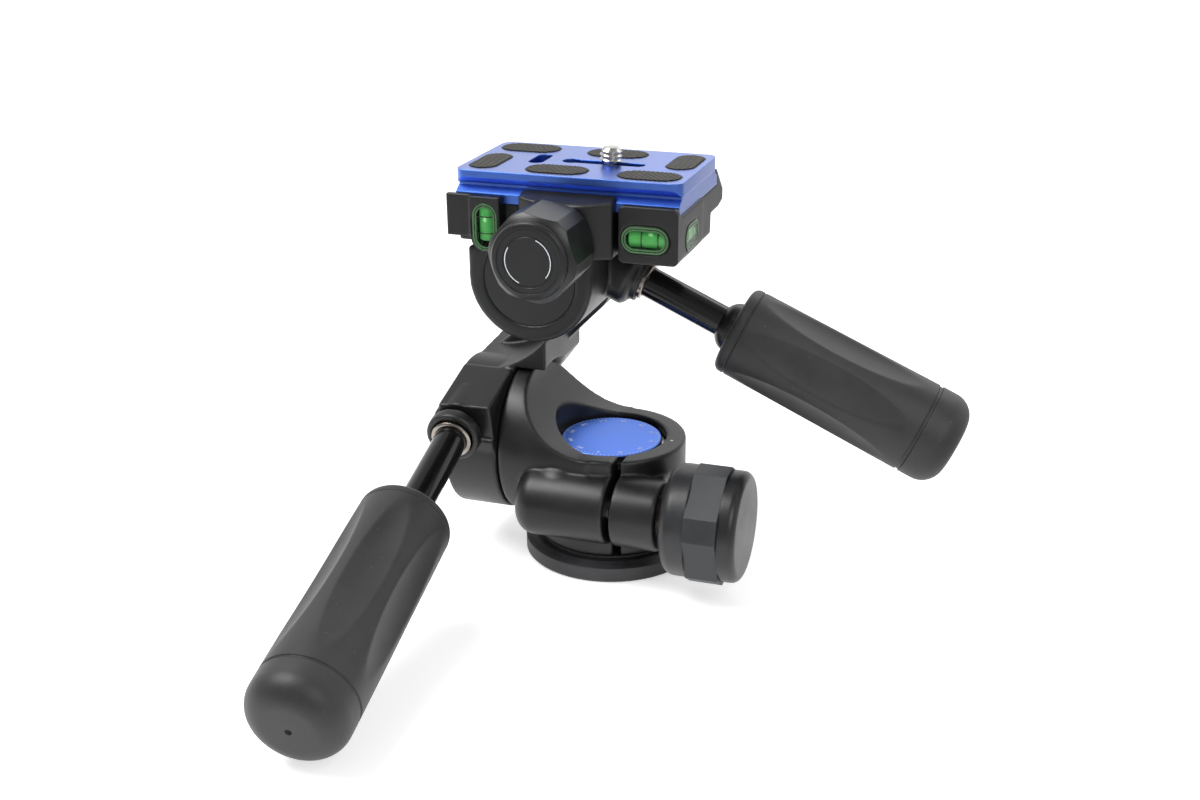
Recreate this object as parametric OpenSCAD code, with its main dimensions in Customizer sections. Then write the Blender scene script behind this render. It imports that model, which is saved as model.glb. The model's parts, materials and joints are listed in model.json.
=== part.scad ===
// Three way pan tilt head with a quick release plate.
// The origin is the middle of the base's underside, on the pan axis, and +Z is up.
// The handle of the tilt joint points to -Y, and the handle of the side joint to +X.
// The pan joint turns about Z, the tilt joint about X and the side joint about Y.

/* [Base and pan joint] */
// Radius of the base flange
base_r = 25.7; // [24:0.1:32]
// Height of the base flange's straight rim
base_rim_h = 4.4; // [3:0.1:6]
// Height of the chamfer above the rim
base_chamfer_h = 1.2; // [0.6:0.1:2]
// Radius of the tripod thread's minor bore
tripod_bore_r = 4.1; // [3:0.1:4.6]
// Depth of the tripod thread
tripod_bore_h = 11; // [8:0.5:13]
// Outer radius of the threaded insert
insert_r = 6.6; // [5.6:0.1:8]
// Radius of the pan column
column_r = 13.5; // [12:0.1:14.5]
// Thickness of the column's retaining cap
column_cap_h = 2; // [1.4:0.1:3]
// Radius of the pan dial
dial_r = 14.9; // [14:0.1:15.4]
// Thickness of the pan dial
dial_h = 1.9; // [1:0.1:2.5]
// Thickness of the ring under the pan housing
pan_washer_h = 0.6; // [0.4:0.1:1]
// Height of the pan housing's rim above the ground
rim_z = 36; // [34.5:0.1:39]
// Radius of the pan housing's upright body
housing_r = 22; // [21:0.1:24]
// Radius of the well that the dial lies in
dial_well_r = 16.3; // [16.1:0.1:17]
// Radius of the scoop that frees the view of the dial
scoop_r = 22.4; // [21:0.1:24]

/* [Pan clamp] */
// Distance of the clamp screw in front of the pan axis
pinch_y = 21; // [20:0.1:24]
// Height of the clamp screw
pinch_z = 21.8; // [20:0.1:23]
// Radius of the clamp boss
pinch_boss_r = 10.2; // [8:0.1:10.8]
// Left end of the clamp boss
pinch_left = 20.5; // [19:0.1:23]
// Right end of the clamp boss
pinch_right = 22.4; // [20:0.1:23]
// Rounding of the clamp boss's left end
pinch_round = 5.5; // [3:0.1:7]
// Width of the clamp slot
slot_w = 2; // [1:0.1:3]
// Place of the clamp slot along the boss
slot_x = 8; // [6:0.1:10]
// Radius of the clamp screw
pinch_screw_r = 2.9; // [2:0.1:3.2]
// Radius over the corners of the pan knob's grip band
pan_knob_r = 16.8; // [14:0.1:17.5]
// Length of the pan knob's plain neck
pan_knob_neck_l = 7.6; // [5:0.1:9]
// Length of the pan knob's grip band
pan_knob_band_l = 9.3; // [8:0.1:14]
// Length of the pan knob's end cap
pan_knob_cap_l = 4.9; // [4:0.1:8]
// Number of wide flats round the grip band
pan_knob_flats = 5; // [5:1:8]

/* [Tilt joint] */
// Height of the tilt axis
tilt_z = 33; // [32.5:0.1:35]
// Radius of the tilt barrel
tilt_r = 22.6; // [21.5:0.1:23]
// Distance of the tilt joint's face from the pan axis
tilt_x = 27.3; // [26.8:0.1:29]
// Width of the elbow's clamp barrel
elbow_w = 16.4; // [14:0.1:20]
// Thickness of the ring between the joint faces
tilt_washer_h = 0.3; // [0.2:0.05:0.6]
// Radius of the tilt shaft
shaft_r = 8; // [6:0.1:9]
// Radius of the plug that closes the elbow's end
elbow_plug_r = 13; // [11:0.1:15]

/* [Side joint] */
// Distance of the side axis to the left of the pan axis
roll_x = 17.2; // [15:0.1:20]
// Height of the side axis
roll_z = 87.2; // [86:0.1:90]
// Radius of the side barrel
roll_r = 18; // [16.5:0.1:18.6]
// Radius of the side shaft
roll_shaft_r = 5; // [4:0.1:5.4]
// Front face of the side barrel, in front of the pan axis
roll_front = 20; // [18:0.1:21]
// Rear face of the side barrel, behind the pan axis
roll_back = 13.4; // [12:0.1:14]
// Radius of the cap on the front of the side barrel
barrel_cap_r = 13.3; // [11:0.1:14.5]
// Thickness of the elbow's head behind the side barrel
head_t = 10.5; // [8:0.1:12]
// Radius of the elbow's head
head_r = 13.3; // [11:0.1:13.4]

/* [Handles] */
// Radius of a grip at its two ends
grip_r = 13; // [11:0.1:13.4]
// Radius of the rod
rod_r = 4; // [3:0.1:4.6]
// Length of the end cap on a grip
grip_cap_l = 10.5; // [8:0.1:13]
// Number of scallops round a grip
grip_scallops = 6; // [5:1:8]
// Radius of the boss that carries a handle
handle_boss_r = 7.8; // [7:0.1:8.4]
// Radius of the metal collar round a rod
collar_r = 5.6; // [5.2:0.1:6.4]
// Radius of the threaded stud in a boss
stud_r = 2.9; // [2:0.1:3.4]
// Length of the tilt handle's rod that shows
tilt_rod_l = 36.5; // [30:0.5:45]
// Length of the tilt handle's grip
tilt_grip_l = 65.5; // [50:0.5:68]
// Drop of the tilt handle below the level
tilt_drop = 14.2; // [12:0.1:14.6]
// Turn of the tilt handle to the right
tilt_splay = 3.4; // [0:0.1:5]
// Length of the side handle's rod that shows
side_rod_l = 28.7; // [24:0.5:36]
// Length of the side handle's grip
side_grip_l = 59; // [50:0.5:68]
// Drop of the side handle below the level
side_drop = 24.1; // [20:0.1:26]

/* [Clamp] */
// Left end of the clamp body
clamp_left = 40; // [39:0.1:42]
// Right end of the clamp body
clamp_right = 26; // [25.8:0.1:28]
// Underside of the clamp body over the side barrel
clamp_z = 95.3; // [95:0.1:96]
// Height of the channel floor that the plate rests on
floor_z = 108.3; // [107:0.1:109]
// Width of the jaw
jaw_w = 26.4; // [24:0.1:27]
// Play of the jaw in its pocket, on each side
jaw_play = 0.6; // [0.4:0.1:1]
// Radius of the clamp knob
clamp_knob_r = 11.8; // [10:0.1:12.4]
// Length of the clamp knob
clamp_knob_l = 18.6; // [14:0.1:22]
// Radius of the clamp knob's screw
clamp_screw_r = 2.5; // [2:0.1:3]
// Number of wide flats round the clamp knob
clamp_knob_flats = 6; // [5:1:8]
// Length of the vial windows
level_l = 13.4; // [11:0.1:13.8]
// Width of the vial windows
level_w = 7.6; // [6:0.1:7.8]

/* [Plate] */
// Length of the plate
plate_l = 64; // [60:0.5:70]
// Width of the plate's slab
plate_w = 38; // [37:0.1:38.4]
// Thickness of the plate's slab
slab_h = 3.8; // [3:0.1:4.4]
// Height of the plate's foot below the slab
foot_h = 4.6; // [4:0.1:5]
// Middle of the plate to the left of the pan axis
plate_x = 6.3; // [5:0.1:8]
// Middle of the plate in front of the pan axis
plate_y = 0.8; // [0.6:0.1:1]
// Height of the rubber pads above the slab
pad_proud = 0.3; // [0.2:0.1:0.6]
// Radius of the camera screw's thread
camera_screw_r = 3.1; // [2.4:0.05:3.2]
// Height of the camera screw above the slab
camera_screw_h = 4.6; // [4:0.1:6]
// Place of the camera screw to the right of the plate's middle
camera_screw_x = 6.7; // [4:0.1:10]

/* [Hidden] */
$fn = 96;
eps = 0.01;
run_fit = 0.06;
seat_fit = 0.02;
part_gap = 0.3;
far = 120;
black = "#1b1b1d";
satin = "#26272a";
rubber = "#2e2f31";
metal = "#c9cbce";
blue = "#2f62c8";
green = "#35c24a";

// Pan joint, from the ground up
base_h = base_rim_h + base_chamfer_h;
housing_z = base_h + pan_washer_h;
dial_z = rim_z - 1 - dial_h;
cap_z = dial_z - column_cap_h;
well_z = cap_z - 0.2;

// Tilt joint, from right to left
tilt_face = -tilt_x;
elbow_face = tilt_face - tilt_washer_h;
elbow_end = elbow_face - elbow_w;
elbow_plug_h = 2.2;
plug_bore_h = 5;
tilt_boss = [elbow_face - 10.4, -tilt_r - 6.9, tilt_z + 8.3];
lug_t = 3.8;
lug_slot = 1.3;

// Side joint, from front to back
head_face = roll_back + part_gap;
head_end = head_face + head_t;
barrel_cap_h = 2.4;
cap_bore_h = 6;
side_y = 5;
side_boss = [-roll_x + 25.9, side_y, roll_z - 4.7];

// Clamp
jaw_x = -5.2;
knob_x = -7.5;
jaw_back = -13.8;
jaw_front = -26.6;
knob_z = 100.2;
pin_r = 1.5;
pin_reach = 9;
pin_z = 104.6;
pin_wall = 2.6;
slide_fit = 0.15;
jaw_bow_r = 28;
deck_z = clamp_z + 5.7;
block_z = clamp_z + 3.5;
wing_front = -23.2;
level_depth = 5.2;
front_level = [17, wing_front, clamp_z + 6.7];
pod_level_l = level_l - 1.2;
pod_level = [-28.4, wing_front, clamp_z + 6.4];
side_level = [clamp_right, -8.8, clamp_z + 5.3];

// Plate, from its foot up
plate_z = floor_z;
slab_z = plate_z + foot_h;
plate_top = slab_z + slab_h;
foot_w = plate_w + 1;
waist_w = plate_w - 4;
foot_side_h = 2.5;
neck_h = 0.6;
undercut_h = 1.9;
flare_rise = (foot_h - neck_h - foot_side_h) / ((foot_w - waist_w) / 2);
lip_reach = 1.7;
lip_low_z = plate_z + foot_side_h + 0.1;
lip_tip_z = lip_low_z + lip_reach * flare_rise;
slot_r = 2.1;
screw_neck_r = 1.9;
screw_head_r = 5.2;
clip_r = 5.4;
pad_sites = [
  [-21.3, 12.1, 18, 10.4, 0], [4.8, 12.1, 18, 10.4, 0], [-4.8, -11.8, 18, 10.4, 0],
  [21.3, -11.8, 18, 10.4, 0], [-26.1, -6.7, 18.8, 8.6, 90], [26.1, 6.7, 18.8, 8.6, 90]
];

// Shapes that several pieces share

// A ring or a plain disc, standing on z = 0
module ring(r, bore, h) {
  difference() {
    cylinder(r = r, h = h);
    if (bore > 0) translate([0, 0, -eps]) cylinder(r = bore, h = h + 2 * eps);
  }
}

// A flat rectangle with round corners, centred
module round_square(w, d, r) {
  square([w - 2 * r, d], center = true);
  square([w, d - 2 * r], center = true);
  for (x = [-1, 1], y = [-1, 1]) translate([x * (w / 2 - r), y * (d / 2 - r)]) circle(r = r);
}

// A flat oblong along X, centred
module oblong(l, w) {
  square([l - w, w], center = true);
  for (x = [-1, 1]) translate([x * (l - w) / 2, 0]) circle(d = w);
}

// The outline of a knob: wide flats with narrow ones between them
module flats(r, n, wide, turn) {
  angles = [for (i = [0:n - 1], s = [-1, 1]) turn + i * 360 / n + s * wide / 2];
  polygon([for (a = angles) [r * cos(a), r * sin(a)]]);
}

// Lays a profile drawn in Y and Z along X, from one x to another
module along_x(x0, x1) {
  translate([x0, 0, 0]) rotate([90, 0, 90]) linear_extrude(height = x1 - x0) children();
}

// Lays a profile drawn in X and Z along Y, from one y to another
module along_y(y0, y1) {
  translate([0, y1, 0]) rotate([90, 0, 0]) linear_extrude(height = y1 - y0) children();
}

// A cylinder along X, from one x to another
module rod_x(x0, x1, y, z, r) {
  translate([x0, y, z]) rotate([0, 90, 0]) cylinder(r = r, h = x1 - x0);
}

// A cylinder along Y, from one y to another
module rod_y(y0, y1, x, z, r) {
  translate([x, y1, z]) rotate([90, 0, 0]) cylinder(r = r, h = y1 - y0);
}

// Frames whose +Z runs out of a boss along its handle
module at_tilt_handle() {
  translate(tilt_boss) rotate([0, 0, tilt_splay]) rotate([90 + tilt_drop, 0, 0]) children();
}
module at_side_handle() {
  translate(side_boss) rotate([0, 90 + side_drop, 0]) children();
}

// Base and pan joint

module base_disc() {
  color(black) rotate_extrude() polygon([
    [insert_r + seat_fit, 0], [base_r - 0.5, 0], [base_r, 0.5], [base_r, base_rim_h],
    [base_r - 2.2, base_h - 0.3], [base_r - 2.6, base_h], [insert_r + seat_fit, base_h]
  ]);
}

module thread_insert() {
  color(metal) difference() {
    cylinder(r = insert_r, h = tripod_bore_h + 2);
    translate([0, 0, -eps]) cylinder(r = tripod_bore_r, h = tripod_bore_h + eps);
  }
}

module pan_column() {
  color(metal) difference() {
    translate([0, 0, base_h]) cylinder(r = column_r, h = cap_z - base_h);
    translate([0, 0, base_h - eps]) cylinder(r = insert_r + seat_fit, h = tripod_bore_h + 2 - base_h + 0.2);
    translate([0, 0, cap_z - 9]) cylinder(r = 2.1, h = 10);
  }
}

module column_cap() {
  color(metal) difference() {
    translate([0, 0, cap_z]) cylinder(r = dial_well_r - 0.4, h = column_cap_h);
    translate([0, 0, cap_z - eps]) cylinder(r = 2.6, h = column_cap_h + 1);
    translate([0, 0, cap_z + 0.8]) cylinder(r = 4.8, h = column_cap_h);
  }
}

module column_screw() {
  color(metal) {
    translate([0, 0, cap_z + 0.82]) cylinder(r = 4.4, h = column_cap_h - 0.9);
    translate([0, 0, cap_z - 8.5]) cylinder(r = 2, h = 9.4);
  }
}

module pan_dial() {
  color(blue) translate([0, 0, dial_z]) rotate_extrude() polygon([
    [0, 0], [dial_r, 0], [dial_r, dial_h - 0.4], [dial_r - 0.4, dial_h], [0, dial_h]
  ]);
}

module pan_washer() {
  color(satin) translate([0, 0, base_h]) ring(housing_r - 0.8, column_r + run_fit, pan_washer_h);
}

// The housing's upright body, its tilt barrel and its clamp boss in one casting
module pan_housing() {
  color(black) difference() {
    union() {
      translate([0, 0, housing_z]) cylinder(r = housing_r - 0.6, h = 0.8);
      translate([0, 0, housing_z + 0.6]) cylinder(r = housing_r, h = rim_z - housing_z - 1);
      translate([0, 0, rim_z - 0.6]) cylinder(r1 = housing_r, r2 = housing_r - 0.6, h = 0.6);
      housing_barrel();
      pinch_boss();
    }
    housing_scoop();
    translate([0, 0, well_z]) cylinder(r = dial_well_r, h = tilt_z + tilt_r);
    translate([0, 0, housing_z - 1]) cylinder(r = column_r + run_fit, h = rim_z);
    rod_x(tilt_face - 1, -dial_well_r - 1.8, 0, tilt_z, shaft_r + seat_fit);
    rod_x(-pinch_left + 9, pinch_right + 1, -pinch_y, pinch_z, pinch_screw_r + run_fit);
    translate([slot_x - slot_w / 2, -60, housing_z - 1]) cube([slot_w, 60, rim_z]);
    translate([tilt_face + 2.6, -2, tilt_z + tilt_r - 3]) cylinder(r = 1.3, h = 4);
  }
}

// The barrel of the tilt joint, with its step beside the joint face
module housing_barrel() {
  rod_x(tilt_face, 0, 0, tilt_z, tilt_r - 0.5);
  rod_x(tilt_face + 0.5, 0, 0, tilt_z, tilt_r);
}

// The hollow over the rim, from the barrel's shoulder down to the dial
module housing_scoop() {
  along_y(-30, 30) intersection() {
    translate([-30, rim_z]) square([70, 60]);
    union() {
      translate([0, rim_z + scoop_r - 0.2]) circle(r = scoop_r);
      translate([0, rim_z - 1]) square([40, 60]);
    }
  }
}

// The split boss that closes round the column, blended into the wall above it
module pinch_boss() {
  rod_x(-pinch_left + pinch_round, pinch_right - 0.6, -pinch_y, pinch_z, pinch_boss_r);
  rod_x(-pinch_left + pinch_round, pinch_right, -pinch_y, pinch_z, pinch_boss_r - 0.6);
  translate([-pinch_left + pinch_round, -pinch_y, pinch_z]) rotate([0, -90, 0]) rotate_extrude() {
    square([pinch_boss_r - pinch_round, pinch_round]);
    translate([pinch_boss_r - pinch_round, 0]) intersection() {
      circle(r = pinch_round);
      square(pinch_round);
    }
  }
  web_h = pinch_boss_r * 1.6;
  translate([-pinch_left + pinch_round + 1, -pinch_y, pinch_z - web_h / 2])
    cube([pinch_left - pinch_round + pinch_right - 3, pinch_y - 8, web_h]);
  pinch_shoulder();
}

// The full shoulder over the boss's left end, running out towards the slot
module pinch_shoulder() {
  shoulder_r = pinch_boss_r + 0.4;
  translate([-pinch_left + shoulder_r + 0.3, -pinch_y + 3, pinch_z + 1.6]) {
    sphere(r = shoulder_r);
    translate([-1, 0, 0]) rotate([0, 90, 0]) cylinder(r1 = shoulder_r - 0.1, r2 = shoulder_r - 2.4, h = 18);
  }
}

// The fixed half of the tilt joint

module tilt_shaft() {
  color(metal) difference() {
    rod_x(elbow_end + plug_bore_h - 0.1, -dial_well_r - 2, 0, tilt_z, shaft_r);
    rod_x(elbow_end + plug_bore_h - 1, elbow_end + 15, 0, tilt_z, 2.1);
  }
}

module tilt_washer() {
  color(satin) translate([elbow_face, 0, tilt_z]) rotate([0, 90, 0])
    ring(tilt_r - 2, shaft_r + run_fit, tilt_washer_h);
}

// Pan knob, drawn with +Z out of the boss

module at_pan_knob() {
  translate([pinch_right, -pinch_y, pinch_z]) rotate([0, 90, 0]) children();
}
bush_l = 2;
band_z = bush_l + pan_knob_neck_l;
knob_cap_z = band_z + pan_knob_band_l;
knob_core_r = pan_knob_r - 2.2;

module pinch_screw() {
  color(metal) at_pan_knob() translate([0, 0, -pinch_right - pinch_left + 9.5])
    cylinder(r = pinch_screw_r, h = pinch_right + pinch_left - 9.5 + band_z + 4);
}

module pinch_bush() {
  color(metal) at_pan_knob() {
    ring(6.4, pinch_screw_r + seat_fit, 1.1);
    translate([0, 0, 1.1]) ring(5.4, pinch_screw_r + seat_fit, bush_l - 1.1);
  }
}

module pan_knob_core() {
  round_r = 3.5;
  neck_r = knob_core_r + 1.3;
  color(black) at_pan_knob() difference() {
    union() {
      translate([0, 0, bush_l]) rotate_extrude() {
        square([neck_r - round_r, pan_knob_neck_l]);
        translate([0, round_r]) square([neck_r, pan_knob_neck_l - round_r]);
        translate([neck_r - round_r, round_r]) intersection() {
          circle(r = round_r);
          translate([0, -round_r]) square([round_r, round_r]);
        }
      }
      translate([0, 0, band_z]) cylinder(r = knob_core_r, h = pan_knob_band_l);
    }
    translate([0, 0, bush_l - 1]) cylinder(r = pinch_screw_r + seat_fit, h = pan_knob_neck_l + 5.2);
  }
}

module pan_knob_band() {
  wide = 245 / pan_knob_flats;
  color(rubber) at_pan_knob() translate([0, 0, band_z]) difference() {
    linear_extrude(height = pan_knob_band_l) flats(pan_knob_r, pan_knob_flats, wide, 2);
    translate([0, 0, -1]) cylinder(r = knob_core_r + seat_fit, h = pan_knob_band_l + 2);
  }
}

module pan_knob_cap() {
  rim = 2.4;
  cap_r = pan_knob_r - 1.1;
  color(satin) at_pan_knob() translate([0, 0, knob_cap_z]) rotate_extrude() {
    square([cap_r, pan_knob_cap_l - rim]);
    square([cap_r - rim, pan_knob_cap_l]);
    translate([cap_r - rim, pan_knob_cap_l - rim]) intersection() {
      circle(r = rim);
      square(rim);
    }
  }
}

// Elbow: the clamp barrel of the tilt joint, the arm over it and the head that carries the side joint

module elbow() {
  color(black) difference() {
    union() {
      rod_x(elbow_end, elbow_face, 0, tilt_z, tilt_r - 0.5);
      rod_x(elbow_end + 0.5, elbow_face - 0.5, 0, tilt_z, tilt_r);
      elbow_shoulder();
      elbow_arm();
      elbow_web();
      at_tilt_handle() {
        translate([0, 0, -16]) cylinder(r = handle_boss_r, h = 15.5);
        translate([0, 0, -0.5]) cylinder(r1 = handle_boss_r, r2 = handle_boss_r - 0.5, h = 0.5);
      }
    }
    rod_x(elbow_end + 2, elbow_face + 1, 0, tilt_z, shaft_r + run_fit);
    rod_x(elbow_end - 1, elbow_end + plug_bore_h, 0, tilt_z, elbow_plug_r);
    rod_x(elbow_face, 10, 0, tilt_z, tilt_r + 1);
    rod_y(-60, head_face, -roll_x, roll_z, roll_r + 1.4);
    rod_y(head_face - 1, head_end - 2.5, -roll_x, roll_z, roll_shaft_r + seat_fit);
    rod_y(head_end - 3, head_end + 1, -roll_x, roll_z, 2.6);
    at_tilt_handle() translate([0, 0, -15]) cylinder(r = stud_r + run_fit, h = 20);
    at_tilt_handle() translate([0, 0, -1.2]) cylinder(r = collar_r + 0.4, h = 5);
    at_tilt_handle() translate([-20, -3, -lug_t - lug_slot]) cube([40, 24, lug_slot]);
  }
}

// The block in front of the arm, with its flat top sloping to the slot
module elbow_shoulder() {
  top_back = [-6.5, tilt_z + tilt_r - 0.2];
  top_front = [tilt_boss[1] + 3.2, tilt_boss[2] + 8.3];
  along_x(elbow_end + 0.5, elbow_face - 0.5) polygon([
    top_back, top_front, top_front + [2.8, -11], [-tilt_r + 1, tilt_z - 1],
    [-14, tilt_z - 6], [0, tilt_z + 14]
  ]);
}

// The arm over the barrel, scooped so that the clamp clears it when it leans to the side
module elbow_arm() {
  arm_front = -6.5;
  arm_right = -roll_x - 0.8;
  arm_top = roll_z - roll_r - 1.5;
  difference() {
    along_y(arm_front, head_end) polygon([
      [elbow_end + 0.5, tilt_z + 8], [elbow_end + 0.5, arm_top], [arm_right, arm_top],
      [arm_right, tilt_z + tilt_r - 1], [elbow_face - 0.5, tilt_z + 8]
    ]);
    translate([elbow_end + 3, 0, roll_z - 3.2]) rotate([4, 0, 0]) rod_y(-60, 60, 0, 0, 29.6);
  }
}

// The web behind the side barrel, rising to the head
module elbow_web() {
  neck = [-roll_x + 2.7, roll_z - 10.7];
  knee = [-roll_x - 6.3, roll_z - 25.2];
  along_y(head_face, head_end) {
    hull() {
      translate([-roll_x, roll_z]) circle(r = head_r, $fn = 64);
      translate(neck) circle(r = 9.7, $fn = 64);
    }
    hull() {
      translate(neck) circle(r = 9.7, $fn = 64);
      translate(knee) circle(r = 6, $fn = 32);
    }
    hull() {
      translate(knee) circle(r = 6, $fn = 32);
      translate([elbow_end + 6, tilt_z + 17]) circle(r = 5.5, $fn = 32);
      translate([elbow_face - 6, tilt_z + 10]) circle(r = 5.5, $fn = 32);
    }
  }
}

module tilt_retainer() {
  disc_end = elbow_end + plug_bore_h - 0.1;
  color(metal) {
    rod_x(disc_end - 2, disc_end, 0, tilt_z, elbow_plug_r - 1.5);
    rod_x(disc_end - 2.5, disc_end - 2 + eps, 0, tilt_z, 3.6);
    rod_x(disc_end - eps, elbow_end + 14, 0, tilt_z, 2.08);
  }
}

module elbow_plug() {
  color(satin) difference() {
    union() {
      rod_x(elbow_end, elbow_end + elbow_plug_h, 0, tilt_z, elbow_plug_r - seat_fit);
      rod_x(elbow_end - 0.4, elbow_end + eps, 0, tilt_z, elbow_plug_r - 0.8);
    }
    rod_x(elbow_end - 1, elbow_end + 0.2, 0, tilt_z, elbow_plug_r - 4);
  }
}

module roll_shaft() {
  color(metal) difference() {
    rod_y(-roll_front + cap_bore_h - 0.1, head_end - 2.6, -roll_x, roll_z, roll_shaft_r);
    rod_y(-roll_front + cap_bore_h - 1, -roll_front + 16, -roll_x, roll_z, 2.1);
    rod_y(head_end - 12, head_end, -roll_x, roll_z, 2.1);
  }
}

module head_screw() {
  color(metal) {
    rod_y(head_end, head_end + 2.4, -roll_x, roll_z, 4.6);
    rod_y(head_end - 11, head_end + eps, -roll_x, roll_z, 2.08);
  }
}

// Handles, drawn with +Z out of the boss

module handle_stud() {
  color(metal) translate([0, 0, -14]) cylinder(r = stud_r, h = 14 - 1);
}

module handle_collar() {
  color(metal) difference() {
    union() {
      translate([0, 0, -1]) cylinder(r = collar_r, h = 1.7);
      translate([0, 0, 0.7]) cylinder(r1 = collar_r, r2 = collar_r - 0.5, h = 0.5);
    }
    translate([0, 0, -2]) cylinder(r = rod_r + seat_fit, h = 5);
  }
}

module handle_rod(l) {
  color(black) translate([0, 0, -1]) cylinder(r = rod_r, h = l + 12);
}

module handle_hub(l) {
  hub_r = 7.2;
  hub_l = 5;
  color(black) translate([0, 0, l - hub_l]) difference() {
    rotate_extrude() {
      translate([0, hub_l]) intersection() {
        scale([hub_r / hub_l, 1]) circle(r = hub_l);
        translate([0, -hub_l]) square([hub_r, hub_l]);
      }
      translate([0, hub_l - eps]) square([hub_r, 2.5]);
    }
    translate([0, 0, -1]) cylinder(r = rod_r + seat_fit, h = hub_l + 5);
  }
}

// The grip: a soft sleeve with a round front rim and long shallow scallops
module handle_grip(l, grip_l) {
  rim = 2.2;
  arc_r = 260;
  flute_r = 13;
  depth = 1.1;
  color(rubber) translate([0, 0, l]) difference() {
    rotate_extrude() {
      translate([0, rim]) square([grip_r, grip_l - rim - 0.5]);
      square([grip_r - rim, grip_l - 1]);
      translate([grip_r - rim, rim]) circle(r = rim);
      translate([0, grip_l - 1]) square([grip_r - 0.5, 1]);
    }
    translate([0, 0, -1]) cylinder(r = 7.2 + seat_fit, h = 3.5 + 1);
    cylinder(r = rod_r + seat_fit, h = 12 + 0.3);
    for (i = [0:grip_scallops - 1]) rotate(i * 360 / grip_scallops + 12)
      translate([grip_r - depth + flute_r + arc_r, 0, grip_l * 0.5]) rotate([90, 0, 180])
        rotate([0, 0, -8]) rotate_extrude(angle = 16) translate([arc_r, 0]) circle(r = flute_r);
  }
}

module handle_cap(l, grip_l) {
  dome = 6.5;
  cap_r = grip_r + 0.2;
  color(rubber) translate([0, 0, l + grip_l]) difference() {
    rotate_extrude() {
      square([cap_r, grip_cap_l - dome]);
      translate([0, grip_cap_l - dome - eps]) square([cap_r - dome, dome + eps]);
      translate([cap_r - dome, grip_cap_l - dome]) intersection() {
        circle(r = dome);
        square(dome);
      }
    }
    translate([0, 0, grip_cap_l]) sphere(r = 0.9);
  }
}

module tilt_handle_stud() { at_tilt_handle() handle_stud(); }
module tilt_handle_collar() { at_tilt_handle() handle_collar(); }
module tilt_handle_rod() { at_tilt_handle() handle_rod(tilt_rod_l); }
module tilt_handle_hub() { at_tilt_handle() handle_hub(tilt_rod_l); }
module tilt_handle_grip() { at_tilt_handle() handle_grip(tilt_rod_l, tilt_grip_l); }
module tilt_handle_cap() { at_tilt_handle() handle_cap(tilt_rod_l, tilt_grip_l); }
module side_handle_stud() { at_side_handle() handle_stud(); }
module side_handle_collar() { at_side_handle() handle_collar(); }
module side_handle_rod() { at_side_handle() handle_rod(side_rod_l); }
module side_handle_hub() { at_side_handle() handle_hub(side_rod_l); }
module side_handle_grip() { at_side_handle() handle_grip(side_rod_l, side_grip_l); }
module side_handle_cap() { at_side_handle() handle_cap(side_rod_l, side_grip_l); }

// Side body: the barrel on the side shaft, its neck and the ear of the side handle

module side_body() {
  neck_left = -roll_x - roll_r;
  neck_right = -roll_x + roll_r;
  color(black) difference() {
    union() {
      rod_y(-roll_front, roll_back, -roll_x, roll_z, roll_r - 0.6);
      rod_y(-roll_front + 0.6, roll_back - 0.6, -roll_x, roll_z, roll_r);
      along_y(-roll_front + 0.6, roll_back) polygon([
        [neck_left, roll_z], [neck_left, clamp_z], [neck_right, clamp_z], [neck_right, roll_z]
      ]);
      at_side_handle() translate([0, 0, -24]) cylinder(r = 9.6, h = 20.5);
      at_side_handle() translate([0, 0, -3.5]) cylinder(r1 = 9.6, r2 = 8, h = 1.5);
      at_side_handle() translate([0, 0, -2 - eps]) cylinder(r = 6.9, h = 2);
    }
    translate([-far / 2, -far / 2, clamp_z]) cube([far, far, far / 2]);
    translate([-far / 2, roll_back, roll_z - far / 2]) cube([far, far / 2, far]);
    rod_y(-roll_front + 2, roll_back + 1, -roll_x, roll_z, roll_shaft_r + run_fit);
    rod_y(-roll_front + 2, -roll_front + cap_bore_h, -roll_x, roll_z, roll_shaft_r + 2.2);
    rod_y(-roll_front - 1, -roll_front + barrel_cap_h + 0.3, -roll_x, roll_z, barrel_cap_r);
    at_side_handle() translate([0, 0, -15]) cylinder(r = stud_r + run_fit, h = 20);
    at_side_handle() translate([0, 0, -1.2]) cylinder(r = collar_r + 0.4, h = 5);
    for (x = bolt_xs) translate([x, bolt_y, clamp_z - 9]) cylinder(r = 2.1, h = 10);
  }
}

module roll_retainer() {
  disc_end = -roll_front + cap_bore_h - 0.1;
  color(metal) {
    rod_y(disc_end - 2, disc_end, -roll_x, roll_z, roll_shaft_r + 1.9);
    rod_y(disc_end - 2.6, disc_end - 2 + eps, -roll_x, roll_z, 3.6);
    rod_y(disc_end - eps, -roll_front + 15, -roll_x, roll_z, 2.08);
  }
}

// A round cap with a flat top under the clamp
module barrel_cap() {
  cap_r = barrel_cap_r - seat_fit;
  color(satin) difference() {
    rod_y(-roll_front + 0.3, -roll_front + 0.3 + barrel_cap_h, -roll_x, roll_z, cap_r);
    translate([-roll_x - 20, -roll_front - 1, clamp_z - 0.1]) cube([40, 10, 20]);
  }
}

// Clamp: body with its fixed rear lip, its two wings and the pocket of the jaw

bolt_xs = [-roll_x - 8, -roll_x + 8];
bolt_y = 6;

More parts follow.
